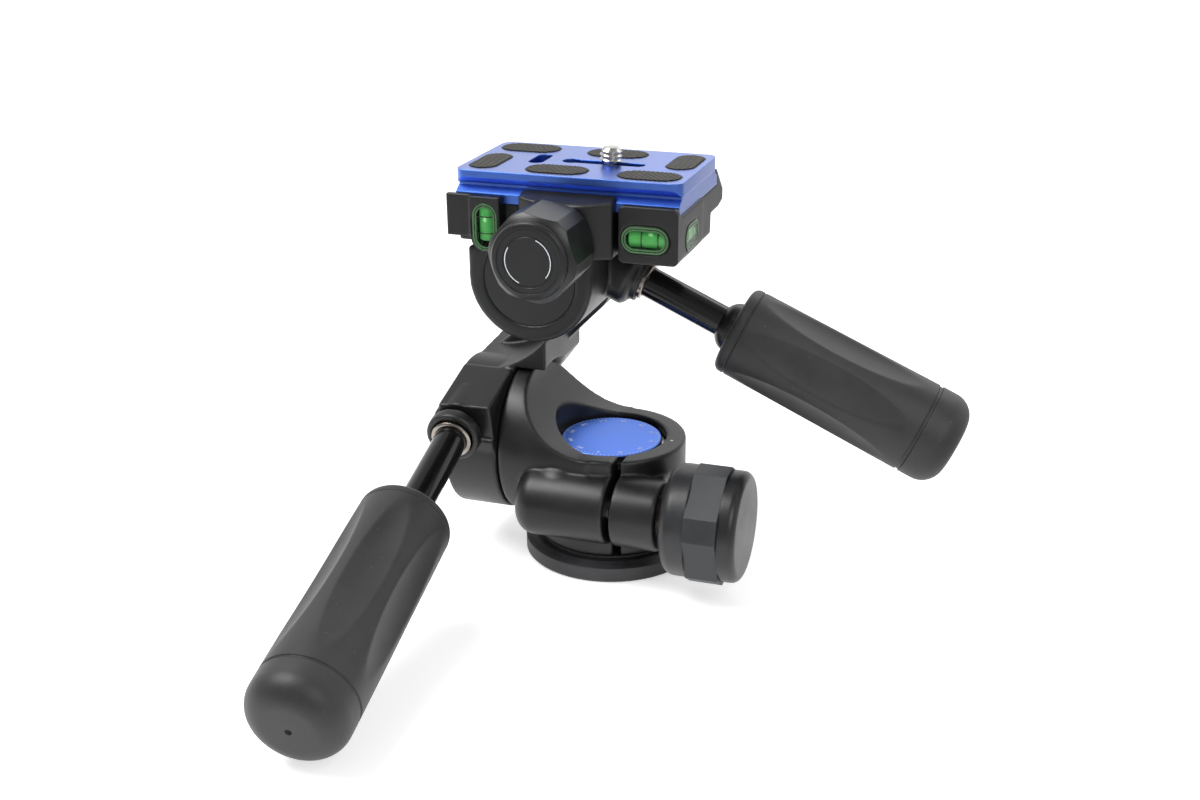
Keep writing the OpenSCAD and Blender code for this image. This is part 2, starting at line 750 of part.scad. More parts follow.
module clamp_body() {
  pocket_w = jaw_w + 2 * jaw_play;
  color(black) difference() {
    union() {
      clamp_deck();
      clamp_left_block();
      clamp_pod();
      clamp_wing();
    }
    translate([-far / 2, plate_front_y() - part_gap, floor_z]) cube([far, plate_w - 3, far / 6]);
    translate([jaw_x - pocket_w / 2, jaw_back + 0.2 - far / 2, clamp_z - far / 8])
      cube([pocket_w, far / 2, far / 2]);
    rod_y(jaw_back - 1, jaw_back + 16, knob_x, knob_z, clamp_screw_r + run_fit);
    for (s = [-1, 1]) rod_y(jaw_back - 1, jaw_back + 9, jaw_x + s * pin_reach, pin_z, pin_r + seat_fit);
    for (x = bolt_xs) translate([x, bolt_y, clamp_z - 1]) cylinder(r = 2.6, h = 30);
    for (x = bolt_xs) translate([x, bolt_y, floor_z - 4.4]) cylinder(r = 4.7, h = 10);
    translate([-far / 2, -roll_front - 0.2, clamp_z - far / 8]) cube([far, far / 2, far / 8]);
    level_pocket(front_level, level_l, 0, 0);
    level_pocket(pod_level, pod_level_l, 90, 0);
    level_pocket(side_level, level_l, 0, 90);
  }
}

function plate_front_y() = -plate_y - foot_w / 2;
function plate_back_y() = -plate_y + foot_w / 2;

// The deck that carries the plate, with the fixed lip along its rear edge
module clamp_deck() {
  lip_in = plate_back_y() + slide_fit;
  lip_z = slab_z - 0.3;
  along_x(-clamp_left, clamp_right - 0.6) polygon([
    [jaw_back - 2.2, floor_z], [jaw_back - 2.2, deck_z], [jaw_back, clamp_z + 3], [jaw_back, clamp_z],
    [roll_back - 0.2, clamp_z], [roll_back + 0.2, deck_z], [lip_in + 3.2, deck_z], [lip_in + 7.8, deck_z + 1],
    [lip_in + 8, floor_z - 2.9], [lip_in + 0.6, lip_z], [lip_in - lip_reach + 0.3, lip_z],
    [lip_in - lip_reach, lip_tip_z], [lip_in, lip_low_z], [lip_in, floor_z]
  ]);
}

module clamp_left_block() {
  translate([-clamp_left, -17, block_z]) cube([12, 20, floor_z - block_z + eps]);
  translate([-clamp_left, wing_front + 1.2, block_z]) cube([8, 8, floor_z + 2.3 - block_z]);
}

// The upright pod of the second level
module clamp_pod() {
  pod_w = level_w + 1.2;
  pod_z = clamp_z + 7.1;
  translate([pod_level[0], 0, 0]) along_y(wing_front, -8) translate([0, pod_z]) union() {
    oblong_z(level_l + 1.6, pod_w);
    translate([-pod_w / 2, 0]) square([pod_w, floor_z + 2.1 - pod_z]);
  }
  translate([pod_level[0] + pod_w / 2 - eps, -19, clamp_z + 1.7]) cube([4.4, 6, floor_z - clamp_z]);
}

// An upright flat oblong, centred
module oblong_z(l, w) {
  rotate(90) oblong(l, w);
}

// The wing on the right with the other two levels
module clamp_wing() {
  wing_left = jaw_x + jaw_w / 2 + jaw_play + 0.9;
  wing_w = clamp_right - wing_left;
  wing_h = floor_z + 2.6 - clamp_z;
  along_y(wing_front, 2.6) translate([wing_left + wing_w / 2, clamp_z + wing_h / 2])
    round_square(wing_w, wing_h, 1.6);
}

// A frame on a level's face: turn 90 stands it up, and face 90 turns it to the right side
module at_level(site, turn, face) {
  translate(site) rotate([0, 0, face]) rotate([90, 0, 0]) rotate(turn) children();
}

module level_pocket(site, l, turn, face) {
  at_level(site, turn, face) translate([0, 0, -level_depth])
    linear_extrude(height = level_depth + 1) oblong(l, level_w);
}

// The clear frame of a level, with the cradle that its vial lies in
module level_frame(site, l, turn, face) {
  color(green) at_level(site, turn, face) difference() {
    translate([0, 0, -level_depth + seat_fit]) linear_extrude(height = level_depth + 0.3)
      oblong(l - 2 * seat_fit, level_w - 2 * seat_fit);
    translate([0, 0, -level_depth + 1]) linear_extrude(height = level_depth + 1)
      oblong(l - 2.2, level_w - 2.2);
  }
}

module level_vial(site, l, turn, face) {
  vial_r = level_w / 2 - 1.9;
  color(green) at_level(site, turn, face) translate([-(l - 5) / 2, 0, -level_depth + 1.05 + vial_r])
    rotate([0, 90, 0]) cylinder(r = vial_r, h = l - 5);
}

module front_level() { level_frame(front_level, level_l, 0, 0); }
module front_vial() { level_vial(front_level, level_l, 0, 0); }
module pod_level() { level_frame(pod_level, pod_level_l, 90, 0); }
module pod_vial() { level_vial(pod_level, pod_level_l, 90, 0); }
module side_level() { level_frame(side_level, level_l, 0, 90); }
module side_vial() { level_vial(side_level, level_l, 0, 90); }

module clamp_bolts() {
  color(metal) for (x = bolt_xs) translate([x, bolt_y, 0]) {
    translate([0, 0, floor_z - 4.4]) ring(4.3, 0, 3.6);
    translate([0, 0, clamp_z - 8]) cylinder(r = 2.08, h = floor_z - 4.4 - clamp_z + 8 + eps);
  }
}

module jaw_pins() {
  color(metal) for (s = [-1, 1])
    rod_y(jaw_front + pin_wall + 0.4, jaw_back + 8.8, jaw_x + s * pin_reach, pin_z, pin_r);
}

// The sliding jaw: a lip over the plate's foot and a front that bows out round the knob
module jaw() {
  lip_in = plate_front_y() - slide_fit;
  jaw_low_z = clamp_z + 0.7;
  jaw_top_z = floor_z + 2.5;
  color(black) difference() {
    intersection() {
      along_x(jaw_x - jaw_w / 2, jaw_x + jaw_w / 2) polygon([
        [jaw_back - 0.2, jaw_low_z], [jaw_front, jaw_low_z], [jaw_front, jaw_top_z - 0.8],
        [jaw_front + 0.8, jaw_top_z], [lip_in + lip_reach - 0.3, slab_z - 0.4],
        [lip_in + lip_reach, lip_tip_z], [lip_in, lip_low_z], [lip_in, floor_z - 0.2],
        [jaw_back - 0.2, floor_z - 0.2]
      ]);
      translate([jaw_x, jaw_front + jaw_bow_r, clamp_z - 5]) cylinder(r = jaw_bow_r, h = far / 4);
    }
    rod_y(jaw_front - 1, jaw_back + 1, knob_x, knob_z, clamp_screw_r + run_fit);
    for (s = [-1, 1])
      rod_y(jaw_front + pin_wall, jaw_back + 1, jaw_x + s * pin_reach, pin_z, pin_r + run_fit);
  }
}

// Clamp knob, drawn with +Z out of the jaw

module at_clamp_knob() {
  translate([knob_x, jaw_front - 0.1, knob_z]) rotate([90, 0, 0]) children();
}

module clamp_screw() {
  color(metal) rod_y(jaw_front - 9, jaw_back + 15, knob_x, knob_z, clamp_screw_r);
}

module clamp_knob() {
  corner_r = clamp_knob_r + 0.5;
  front_r = clamp_knob_r - 1.4;
  wide = 360 / clamp_knob_flats - 16;
  color(satin) at_clamp_knob() difference() {
    intersection() {
      linear_extrude(height = clamp_knob_l) flats(corner_r, clamp_knob_flats, wide, 18);
      rotate_extrude() polygon([
        [0, 0], [corner_r - 1.5, 0], [corner_r + 0.1, 1.4], [corner_r + 0.1, clamp_knob_l - 3.6],
        [front_r + 0.6, clamp_knob_l - 2.4], [front_r, clamp_knob_l - 2.1], [front_r, clamp_knob_l - 0.9],
        [front_r - 0.4, clamp_knob_l - 0.3], [front_r - 1.1, clamp_knob_l], [0, clamp_knob_l]
      ]);
    }
    translate([0, 0, -1]) cylinder(r = clamp_screw_r + seat_fit, h = 10.2);
    translate([0, 0, clamp_knob_l - 0.8]) cylinder(r = front_r - 1.8, h = 2);
  }
}

module clamp_knob_cap() {
  cap_r = clamp_knob_r - 1.4 - 1.8 - seat_fit;
  color(black) at_clamp_knob() translate([0, 0, clamp_knob_l - 0.8]) difference() {
    cylinder(r = cap_r, h = 0.7);
    translate([0, 0, 0.5]) ring(cap_r - 1.6, cap_r - 2.1, 1);
  }
}

// Plate with its pads and camera screw

module plate() {
  color(blue) difference() {
    translate([-plate_x, -plate_y, 0]) union() {
      plate_slab();
      along_x(-plate_l / 2 + 0.6, plate_l / 2 - 0.2) polygon([
        [-foot_w / 2, plate_z], [foot_w / 2, plate_z], [foot_w / 2, plate_z + foot_side_h],
        [waist_w / 2, slab_z - neck_h], [waist_w / 2, slab_z + eps], [-waist_w / 2, slab_z + eps],
        [-waist_w / 2, slab_z - neck_h], [-foot_w / 2, plate_z + foot_side_h]
      ]);
    }
    translate([-plate_x, -plate_y, plate_z - 1]) {
      translate([4.85, 0, 0]) linear_extrude(height = 20) oblong(23.3, 2 * slot_r);
      translate([-4.7, 0, 0]) cylinder(r = camera_screw_r - 0.4, h = 20);
      translate([3.8, 0, 0]) linear_extrude(height = foot_h + 0.5) oblong(29, 2 * clip_r + 0.8);
      translate([-14, 0, 0]) rotate(90) linear_extrude(height = 20) oblong(11.4, 4.4);
    }
    for (p = pad_sites) pad_place(p) translate([0, 0, plate_top - 1]) linear_extrude(height = 2)
      oblong(p[2], p[3]);
  }
}

// The slab, cut back along its front and rear edges above the foot
module plate_slab() {
  difference() {
    translate([0, 0, slab_z]) linear_extrude(height = slab_h) round_square(plate_l, plate_w, 3);
    for (s = [-1, 1]) along_x(-plate_l, plate_l) polygon([
      [s * waist_w / 2, slab_z - eps], [s * plate_w / 2, slab_z + undercut_h],
      [s * (plate_w / 2 + 1), slab_z + undercut_h], [s * (plate_w / 2 + 1), slab_z - eps]
    ]);
  }
}

module pad_place(p) {
  translate([p[0] - plate_x, p[1] - plate_y, 0]) rotate(p[4]) children();
}

// A rubber pad with slanting ribs, let into the slab
module pad(i) {
  p = pad_sites[i];
  color(rubber) pad_place(p) translate([0, 0, plate_top - 1]) {
    linear_extrude(height = 1) oblong(p[2] - 0.1, p[3] - 0.1);
    translate([0, 0, 1 - eps]) linear_extrude(height = pad_proud) intersection() {
      oblong(p[2] - 0.9, p[3] - 0.9);
      for (k = [-9:9]) translate([k * 1.25, 0]) rotate(-24) square([0.7, 16], center = true);
    }
  }
}

module pad_1() { pad(0); }
module pad_2() { pad(1); }
module pad_3() { pad(2); }
module pad_4() { pad(3); }
module pad_5() { pad(4); }
module pad_6() { pad(5); }

module at_camera_screw() {
  translate([-plate_x + camera_screw_x, -plate_y, 0]) children();
}

// The clip that keeps the camera screw in its slot
module screw_clip() {
  color(metal) at_camera_screw() translate([0, 0, slab_z - 1.7]) ring(clip_r, screw_neck_r + run_fit, 0.9);
}

// The screw: a head under the plate, a thin neck in the slot and the thread above it
module camera_screw() {
  head_z = plate_z + 0.3;
  thread_z = plate_top + 0.2;
  thread_end = plate_top + camera_screw_h - 0.5;
  color(metal) at_camera_screw() difference() {
    union() {
      translate([0, 0, head_z]) cylinder(r = screw_head_r, h = slab_z - 1.7 - head_z);
      translate([0, 0, head_z]) cylinder(r = screw_neck_r, h = thread_z - head_z + eps);
      translate([0, 0, thread_z]) cylinder(r = camera_screw_r, h = thread_end - thread_z);
      translate([0, 0, thread_end - eps]) cylinder(r1 = camera_screw_r, r2 = camera_screw_r - 0.5, h = 0.5);
    }
    translate([-0.6, -6, head_z - 1]) cube([1.2, 12, 2.2]);
  }
}

base_disc();
thread_insert();
pan_column();
column_cap();
column_screw();
pan_dial();
pan_washer();
pan_housing();
tilt_shaft();
tilt_washer();
pinch_screw();
pinch_bush();
pan_knob_core();
pan_knob_band();
pan_knob_cap();
elbow();
tilt_retainer();
elbow_plug();
roll_shaft();
head_screw();
tilt_handle_stud();
tilt_handle_collar();
tilt_handle_rod();
tilt_handle_hub();
tilt_handle_grip();
tilt_handle_cap();
side_body();
roll_retainer();
barrel_cap();
clamp_body();
clamp_bolts();
jaw_pins();
front_level();
front_vial();
pod_level();
pod_vial();
side_level();
side_vial();
side_handle_stud();
side_handle_collar();
side_handle_rod();
side_handle_hub();
side_handle_grip();
side_handle_cap();
jaw();
clamp_screw();
clamp_knob();
clamp_knob_cap();
plate();
pad_1();
pad_2();
pad_3();
pad_4();
pad_5();
pad_6();
screw_clip();
camera_screw();
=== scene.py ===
"""Three way pan tilt head: finishes, small pieces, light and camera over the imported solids."""

import json
import logging
import math
from dataclasses import dataclass, field
from enum import Enum
from typing import Callable, ClassVar, Sequence

import bmesh
import bpy
from mathutils import Matrix, Vector

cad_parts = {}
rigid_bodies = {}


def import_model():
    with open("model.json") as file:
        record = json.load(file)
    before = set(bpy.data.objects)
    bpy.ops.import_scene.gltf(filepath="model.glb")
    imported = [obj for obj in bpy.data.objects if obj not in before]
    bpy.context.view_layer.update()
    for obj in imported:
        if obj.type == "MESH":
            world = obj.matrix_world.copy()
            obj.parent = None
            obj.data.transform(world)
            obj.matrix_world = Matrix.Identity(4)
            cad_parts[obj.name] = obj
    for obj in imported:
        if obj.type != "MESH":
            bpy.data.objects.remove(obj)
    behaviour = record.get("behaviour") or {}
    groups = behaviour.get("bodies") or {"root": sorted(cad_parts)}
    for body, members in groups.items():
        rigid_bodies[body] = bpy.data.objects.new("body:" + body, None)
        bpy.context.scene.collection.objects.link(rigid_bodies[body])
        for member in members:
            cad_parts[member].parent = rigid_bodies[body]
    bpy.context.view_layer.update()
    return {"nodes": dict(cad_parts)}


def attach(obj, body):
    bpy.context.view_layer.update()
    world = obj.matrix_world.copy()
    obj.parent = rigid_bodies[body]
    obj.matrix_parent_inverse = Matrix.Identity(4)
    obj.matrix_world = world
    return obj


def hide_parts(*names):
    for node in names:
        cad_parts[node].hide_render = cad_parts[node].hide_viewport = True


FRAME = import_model()
MM = 0.001  # metres in a millimetre
WELD = 0.000002  # metres within which points become one
FIT = 0.02  # play of a seat round what it holds, in millimetres
LOG = logging.getLogger("pan_tilt_head")

Point = Sequence[float]
Pair = tuple[float, float]
Colour = tuple[float, float, float]
Socket = bpy.types.NodeSocket
NodeTree = bpy.types.NodeTree


class Slot(Enum):
    """The material slots that the record names."""

    CAST = "black_cast"
    GLOSS = "black_gloss"
    RUBBER = "rubber"
    KNOB = "knob_plastic"
    BLUE = "blue_metal"
    STEEL = "steel"
    BRIGHT = "bright_metal"
    WASHER = "washer"
    FRAME = "level_frame"
    VIAL = "level_vial"


# Shader helpers


def maths(tree: NodeTree, operation: str, first: Socket, second: Socket | float) -> Socket:
    """Joins two values by a sum, a product or the greater of the two."""
    node = tree.nodes.new("ShaderNodeMath")
    node.operation = operation
    tree.links.new(first, node.inputs[0])
    if isinstance(second, float):
        node.inputs[1].default_value = second
    else:
        tree.links.new(second, node.inputs[1])
    return node.outputs["Value"]


def spread(tree: NodeTree, value: Socket, old: Pair, new: Pair, kind: str = "LINEAR") -> Socket:
    """Maps a value from an old span to a new one.

    Args:
        tree: The shader's tree.
        value: The value.
        old: First and last value of the old span.
        new: What they become.
        kind: How the map runs between them.

    Returns:
        The mapped value.
    """
    node = tree.nodes.new("ShaderNodeMapRange")
    node.interpolation_type = kind
    node.inputs["From Min"].default_value, node.inputs["From Max"].default_value = old
    node.inputs["To Min"].default_value, node.inputs["To Max"].default_value = new
    tree.links.new(value, node.inputs["Value"])
    return node.outputs["Result"]


def soft_step(tree: NodeTree, value: Socket, old: Pair, new: Pair) -> Socket:
    """Maps a value from an old span to a new one, with soft ends."""
    return spread(tree, value, old, new, "SMOOTHSTEP")


def blend(tree: NodeTree, factor: Socket, under: Socket, over: Colour) -> Socket:
    """Mixes a plain colour over another one."""
    node = tree.nodes.new("ShaderNodeMix")
    node.data_type = "RGBA"
    tree.links.new(factor, node.inputs[0])
    tree.links.new(under, node.inputs[6])
    node.inputs[7].default_value = (*over, 1)
    return node.outputs[2]


def parts_of(tree: NodeTree, place: Socket) -> bpy.types.NodeOutputs:
    """Splits a place into its X, Y and Z."""
    node = tree.nodes.new("ShaderNodeSeparateXYZ")
    tree.links.new(place, node.inputs["Vector"])
    return node.outputs


# Finishes


@dataclass(frozen=True)
class Finish:
    """One surface finish. Lengths are in millimetres.

    Args:
        name: Name of the material.
        colour: Colour of the surface.
        roughness: Middle roughness.
        spread: How far the roughness wanders from its middle.
        metallic: 1 for bare metal.
        specular: Level of the plain reflection.
        mottle: How far the colour wanders, as a share.
        mottle_size: Size of the colour's patches.
        grain_size: Size of the fine bumps.
        grain_depth: Depth of the fine bumps.
        edge: Width over which an edge looks rounded.
        edge_wear_and_highlight: How much paler the edges are painted, for rubbed paint and for a painted highlight
            where an edge catches the light.
        speck: How much the specks of pale dust cover.
        speck_gap: Distance from one speck to the next.
        dust: Colour of the dust.
        coat: Weight of a clear coat.
        coat_haze: Roughness of that coat.
        sheen: Weight of a soft sheen.
        low_z: Height below which the surface takes its low colour, or 0 for none.
        low: Colour below that height.
        stretch: Stretch of the grain along X, Y and Z.
    """

    name: str
    colour: Colour
    roughness: float = 0.45
    spread: float = 0.06
    metallic: float = 0.0
    specular: float = 0.5
    mottle: float = 0.15
    mottle_size: float = 7.0
    grain_size: float = 0.3
    grain_depth: float = 0.02
    edge: float = 0.0
    edge_wear_and_highlight: float = 0.0
    speck: float = 0.0
    speck_gap: float = 2.6
    dust: Colour = (0.32, 0.31, 0.30)
    coat: float = 0.0
    coat_haze: float = 0.12
    sheen: float = 0.0
    low_z: float = 0.0
    low: Colour = (0.004, 0.004, 0.004)
    stretch: tuple[float, float, float] = (1.0, 1.0, 1.0)

    def material(self) -> bpy.types.Material:
        """Builds the material, or hands back the one that was built before.

        Returns:
            The material with its node tree.
        """
        made = bpy.data.materials.get(self.name)
        if made:
            return made
        made = bpy.data.materials.new(self.name)
        made.use_nodes = True
        tree = made.node_tree
        shader = tree.nodes["Principled BSDF"]
        self._set_constants(shader)
        coords = tree.nodes.new("ShaderNodeTexCoord")
        turn = tree.nodes.new("ShaderNodeMapping")
        turn.inputs["Scale"].default_value = self.stretch
        tree.links.new(coords.outputs["Object"], turn.inputs["Vector"])
        place = turn.outputs["Vector"]
        patches = self._noise(tree, place, self.mottle_size, 3.0)
        grain = self._noise(tree, place, self.grain_size, 5.0)
        tree.links.new(self._paint(tree, place, patches, grain), shader.inputs["Base Color"])
        tree.links.new(self._spread_roughness(tree, patches, grain), shader.inputs["Roughness"])
        tree.links.new(self._raise_grain(tree, grain), shader.inputs["Normal"])
        return made

    def _set_constants(self, shader: bpy.types.Node) -> None:
        """Sets the sockets that are the same all over the surface."""
        shader.inputs["Metallic"].default_value = self.metallic
        shader.inputs["Specular IOR Level"].default_value = self.specular
        shader.inputs["Coat Weight"].default_value = self.coat
        shader.inputs["Coat Roughness"].default_value = self.coat_haze
        shader.inputs["Sheen Weight"].default_value = self.sheen
        shader.inputs["Sheen Roughness"].default_value = 0.5

    def _noise(self, tree: NodeTree, place: Socket, size: float, detail: float) -> Socket:
        """Adds a noise whose features are about size millimetres across."""
        node = tree.nodes.new("ShaderNodeTexNoise")
        node.inputs["Scale"].default_value = 1.0 / (size * MM)
        node.inputs["Detail"].default_value = detail
        node.inputs["Roughness"].default_value = 0.55
        tree.links.new(place, node.inputs["Vector"])
        return node.outputs["Fac"]

    def _tint(self, share: float, lift: float = 0.0) -> Colour:
        """The finish's colour times a share, and lifted."""
        return tuple(min(1, c * share + lift) for c in self.colour)

    def _paint(self, tree: NodeTree, place: Socket, patches: Socket, grain: Socket) -> Socket:
        """Colours the surface: patches, grain, paler edges that are partly rubbed paint and partly a painted
        highlight, dust and the low part.
        """
        ramp = tree.nodes.new("ShaderNodeValToRGB")
        first, last = ramp.color_ramp.elements
        first.position, first.color = 0.32, (*self._tint(1 - self.mottle), 1)
        last.position, last.color = 0.68, (*self._tint(1 + self.mottle), 1)
        tree.links.new(patches, ramp.inputs["Fac"])
        fleck = spread(tree, grain, (0.45, 0.8), (0.0, 0.35))
        colour = blend(tree, fleck, ramp.outputs["Color"], self._tint(1.5, 0.002))
        # Paler edges: partly rubbed paint and partly a painted highlight, as on the blue plate.
        if self.edge_wear_and_highlight:
            colour = blend(tree, self._edge_mask(tree, grain), colour, self._tint(2.2, 0.03))
        if self.speck:
            dots = tree.nodes.new("ShaderNodeTexVoronoi")
            dots.inputs["Scale"].default_value = 1.0 / (self.speck_gap * MM)
            dots.inputs["Randomness"].default_value = 1.0
            tree.links.new(place, dots.inputs["Vector"])
            near = spread(tree, dots.outputs["Distance"], (0.02, 0.05), (self.speck, 0.0))
            colour = blend(tree, near, colour, self.dust)
        # The low part is near black: on the pads it is painted shade next to the plate.
        if self.low_z:
            rim = ((self.low_z - 0.03) * MM, (self.low_z + 0.03) * MM)
            deep = spread(tree, parts_of(tree, place)["Z"], rim, (1.0, 0.0))
            colour = blend(tree, deep, colour, self.low)
        return colour

    def _rounded(self, tree: NodeTree, radius: float) -> Socket:
        """Adds a normal that looks rounded over the edges."""
        node = tree.nodes.new("ShaderNodeBevel")
        node.samples = 4
        node.inputs["Radius"].default_value = radius * MM
        return node.outputs["Normal"]

    def _edge_mask(self, tree: NodeTree, grain: Socket) -> Socket:
        """Finds the edges by how far a rounded normal leaves the true one."""
        true = tree.nodes.new("ShaderNodeNewGeometry")
        dot = tree.nodes.new("ShaderNodeVectorMath")
        dot.operation = "DOT_PRODUCT"
        tree.links.new(self._rounded(tree, max(self.edge, 0.3)), dot.inputs[0])
        tree.links.new(true.outputs["Normal"], dot.inputs[1])
        return maths(tree, "MULTIPLY", spread(tree, dot.outputs["Value"], (0.98, 0.75), (0.0, self.edge_wear_and_highlight)), grain)

    def _spread_roughness(self, tree: NodeTree, patches: Socket, grain: Socket) -> Socket:
        """Lets the roughness wander with the patches and the grain."""
        both = maths(tree, "ADD", maths(tree, "MULTIPLY", patches, 0.5), maths(tree, "MULTIPLY", grain, 0.5))
        least = max(0.03, self.roughness - self.spread)
        return spread(tree, both, (0.3, 0.7), (least, self.roughness + self.spread))

    def _raise_grain(self, tree: NodeTree, grain: Socket) -> Socket:
        """Raises the grain, over rounded edges where the finish asks for them."""
        bump = tree.nodes.new("ShaderNodeBump")
        bump.inputs["Strength"].default_value = 1.0
        bump.inputs["Distance"].default_value = self.grain_depth * MM
        tree.links.new(grain, bump.inputs["Height"])
        if self.edge:
            tree.links.new(self._rounded(tree, self.edge), bump.inputs["Normal"])
        return bump.outputs["Normal"]


@dataclass(frozen=True)
class ClearFinish(Finish):
    """A finish that light passes through, such as a window or a liquid.

    Args:
        through: Share of the light that passes through.
        painted_glow: Strength of its emission, painted light that stands in for the light it gathers from behind.
        index: Index of refraction.
    """

    through: float = 1.0
    painted_glow: float = 0.0
    index: float = 1.45

    def _set_constants(self, shader: bpy.types.Node) -> None:
        """Sets the plain sockets, those for the light that passes through, and the emission that paints light into
        the piece.
        """
        super()._set_constants(shader)
        shader.inputs["Transmission Weight"].default_value = self.through
        shader.inputs["IOR"].default_value = self.index
        shader.inputs["Emission Color"].default_value = (*self.colour, 1)
        shader.inputs["Emission Strength"].default_value = self.painted_glow


CAST_BLACK = Finish("satin_black_casting", (0.0075, 0.0076, 0.0082), 0.40, 0.05, mottle=0.22, grain_size=0.22,
                    grain_depth=0.012, edge=0.5, edge_wear_and_highlight=0.10)
GLOSS_BLACK = Finish("gloss_black_rod", (0.004, 0.004, 0.0045), 0.15, 0.03, specular=0.45, grain_size=0.6,
                     grain_depth=0.002, edge=0.2)
GRIP_RUBBER = Finish("charcoal_grip_rubber", (0.019, 0.0192, 0.0196), 0.50, 0.07, mottle=0.2, mottle_size=9,
                     grain_size=0.35, grain_depth=0.035, edge=0.35, speck=0.5, sheen=0.08)
# The pads turn near black below 116.86 mm, next to the plate: painted shade.
PAD_RUBBER = Finish("ribbed_pad_rubber", (0.042, 0.040, 0.034), 0.55, 0.05, mottle=0.25, mottle_size=3,
                    grain_size=0.2, grain_depth=0.02, edge=0.1, low_z=116.86, low=(0.003, 0.003, 0.003))
BAND_RUBBER = Finish("knob_band_rubber", (0.024, 0.0255, 0.029), 0.46, 0.06, mottle=0.15, grain_size=0.25,
                     grain_depth=0.02, edge=0.3)
KNOB_SATIN = Finish("satin_knob_plastic", (0.0095, 0.0098, 0.0105), 0.34, 0.05, mottle=0.15, grain_size=0.18,
                    grain_depth=0.008, edge=0.45, edge_wear_and_highlight=0.06)
# The blue plate's paler edges are a painted highlight, the light line along its chamfers.
BLUE_PLATE = Finish("blue_anodised_metal", (0.060, 0.160, 0.620), 0.36, 0.05, metallic=1.0, mottle=0.05,
                    mottle_size=5, grain_size=0.12, grain_depth=0.006, edge=0.5, edge_wear_and_highlight=0.5, coat=0.8, coat_haze=0.25)
# The base casting is a paler grey than the other castings.
BASE_GREY = Finish("pale_grey_base_casting", (0.034, 0.034, 0.037), 0.50, 0.05, mottle=0.22, grain_size=0.25,
                   grain_depth=0.014, edge=0.4, edge_wear_and_highlight=0.08)
NECK_GREY = Finish("grey_knob_plastic", (0.021, 0.0215, 0.0235), 0.38, 0.05, mottle=0.15, grain_size=0.2,
                   grain_depth=0.01, edge=0.5, edge_wear_and_highlight=0.15)
BLUE_DIAL = Finish("blue_dial_metal", (0.085, 0.230, 0.880), 0.38, 0.04, metallic=0.55, mottle=0.04,
                   mottle_size=4, grain_size=0.15, grain_depth=0.004, edge=0.2, low_z=34.75, low=(0.008, 0.008, 0.01))
STEEL = Finish("turned_steel", (0.56, 0.55, 0.53), 0.24, 0.06, metallic=1.0, mottle=0.10, mottle_size=1.5,
               grain_size=0.5, grain_depth=0.004, edge=0.12, stretch=(1.0, 1.0, 9.0))
BRIGHT = Finish("nickel_collar", (0.30, 0.27, 0.24), 0.22, 0.06, metallic=1.0, mottle=0.10, mottle_size=2.0,
                grain_size=0.4, grain_depth=0.003, edge=0.2, edge_wear_and_highlight=0.8)
WASHER = Finish("grey_washer", (0.045, 0.045, 0.047), 0.5, 0.05, mottle=0.2, mottle_size=2, grain_size=0.3,
                grain_depth=0.01, edge=0.1)
WHITE_PRINT = Finish("white_print", (0.74, 0.78, 0.84), 0.5, 0.05, mottle=0.05, mottle_size=1, grain_size=0.2,
                     grain_depth=0.002)
DIAL_PRINT = Finish("pale_blue_print", (0.70, 0.78, 0.95), 0.5, 0.05, mottle=0.05, mottle_size=1, grain_size=0.2,
                    grain_depth=0.002)
DARK_LINE = Finish("vial_line", (0.020, 0.008, 0.006), 0.4, 0.04, mottle=0.1, mottle_size=1, grain_size=0.2,
                   grain_depth=0.002)
# Pale green of the level rims: a painted highlight along the edges of the clear frame.
PAINTED_RIM_HIGHLIGHT = ClearFinish("level_rim_painted_highlight", (0.085, 0.21, 0.085), 0.16, 0.03, mottle=0.10, mottle_size=2,
                        grain_size=0.5, grain_depth=0.002, edge=0.1, through=0.3)
DEEP_GREEN = ClearFinish("level_deep_green", (0.014, 0.028, 0.012), 0.12, 0.03, mottle=0.20, mottle_size=2,
                         grain_size=0.5, grain_depth=0.002, edge=0.2, through=0.1)
# The vial and the bubble emit painted light, and the bubble's paler green is a painted highlight.
VIAL_GREEN = ClearFinish("vial_green", (0.10, 0.52, 0.12), 0.10, 0.03, mottle=0.08, mottle_size=2,
                         grain_size=0.6, grain_depth=0.001, through=0.2, painted_glow=0.15)
BUBBLE = ClearFinish("vial_bubble", (0.42, 0.86, 0.42), 0.08, 0.02, mottle=0.05, mottle_size=1, grain_size=0.5,
                     grain_depth=0.001, through=0.3, painted_glow=0.2)
CLEAR = ClearFinish("clear_window", (0.93, 0.97, 0.93), 0.05, 0.02, mottle=0.02, mottle_size=2, grain_size=0.6,
                    grain_depth=0.001, through=1.0, index=1.15)


# Mesh helpers


def link_mesh(name: str, bm: bmesh.types.BMesh, smooth: float = 32.0) -> bpy.types.Object:
    """Turns a bmesh into an object at the origin, smooth except over sharp edges.

    Args:
        name: Name of the piece.
        bm: The mesh, in metres. It is freed.
        smooth: Largest angle in degrees that is shaded as round.

    Returns:
        The linked object.
    """
    bmesh.ops.recalc_face_normals(bm, faces=bm.faces)
    mesh = bpy.data.meshes.new(name)
    bm.to_mesh(mesh)
    bm.free()
    mesh.shade_smooth()
    mesh.set_sharp_from_angle(angle=math.radians(smooth))
    piece = bpy.data.objects.new(name, mesh)
    bpy.context.scene.collection.objects.link(piece)
    return piece


Radius = float | Callable[[float], float]


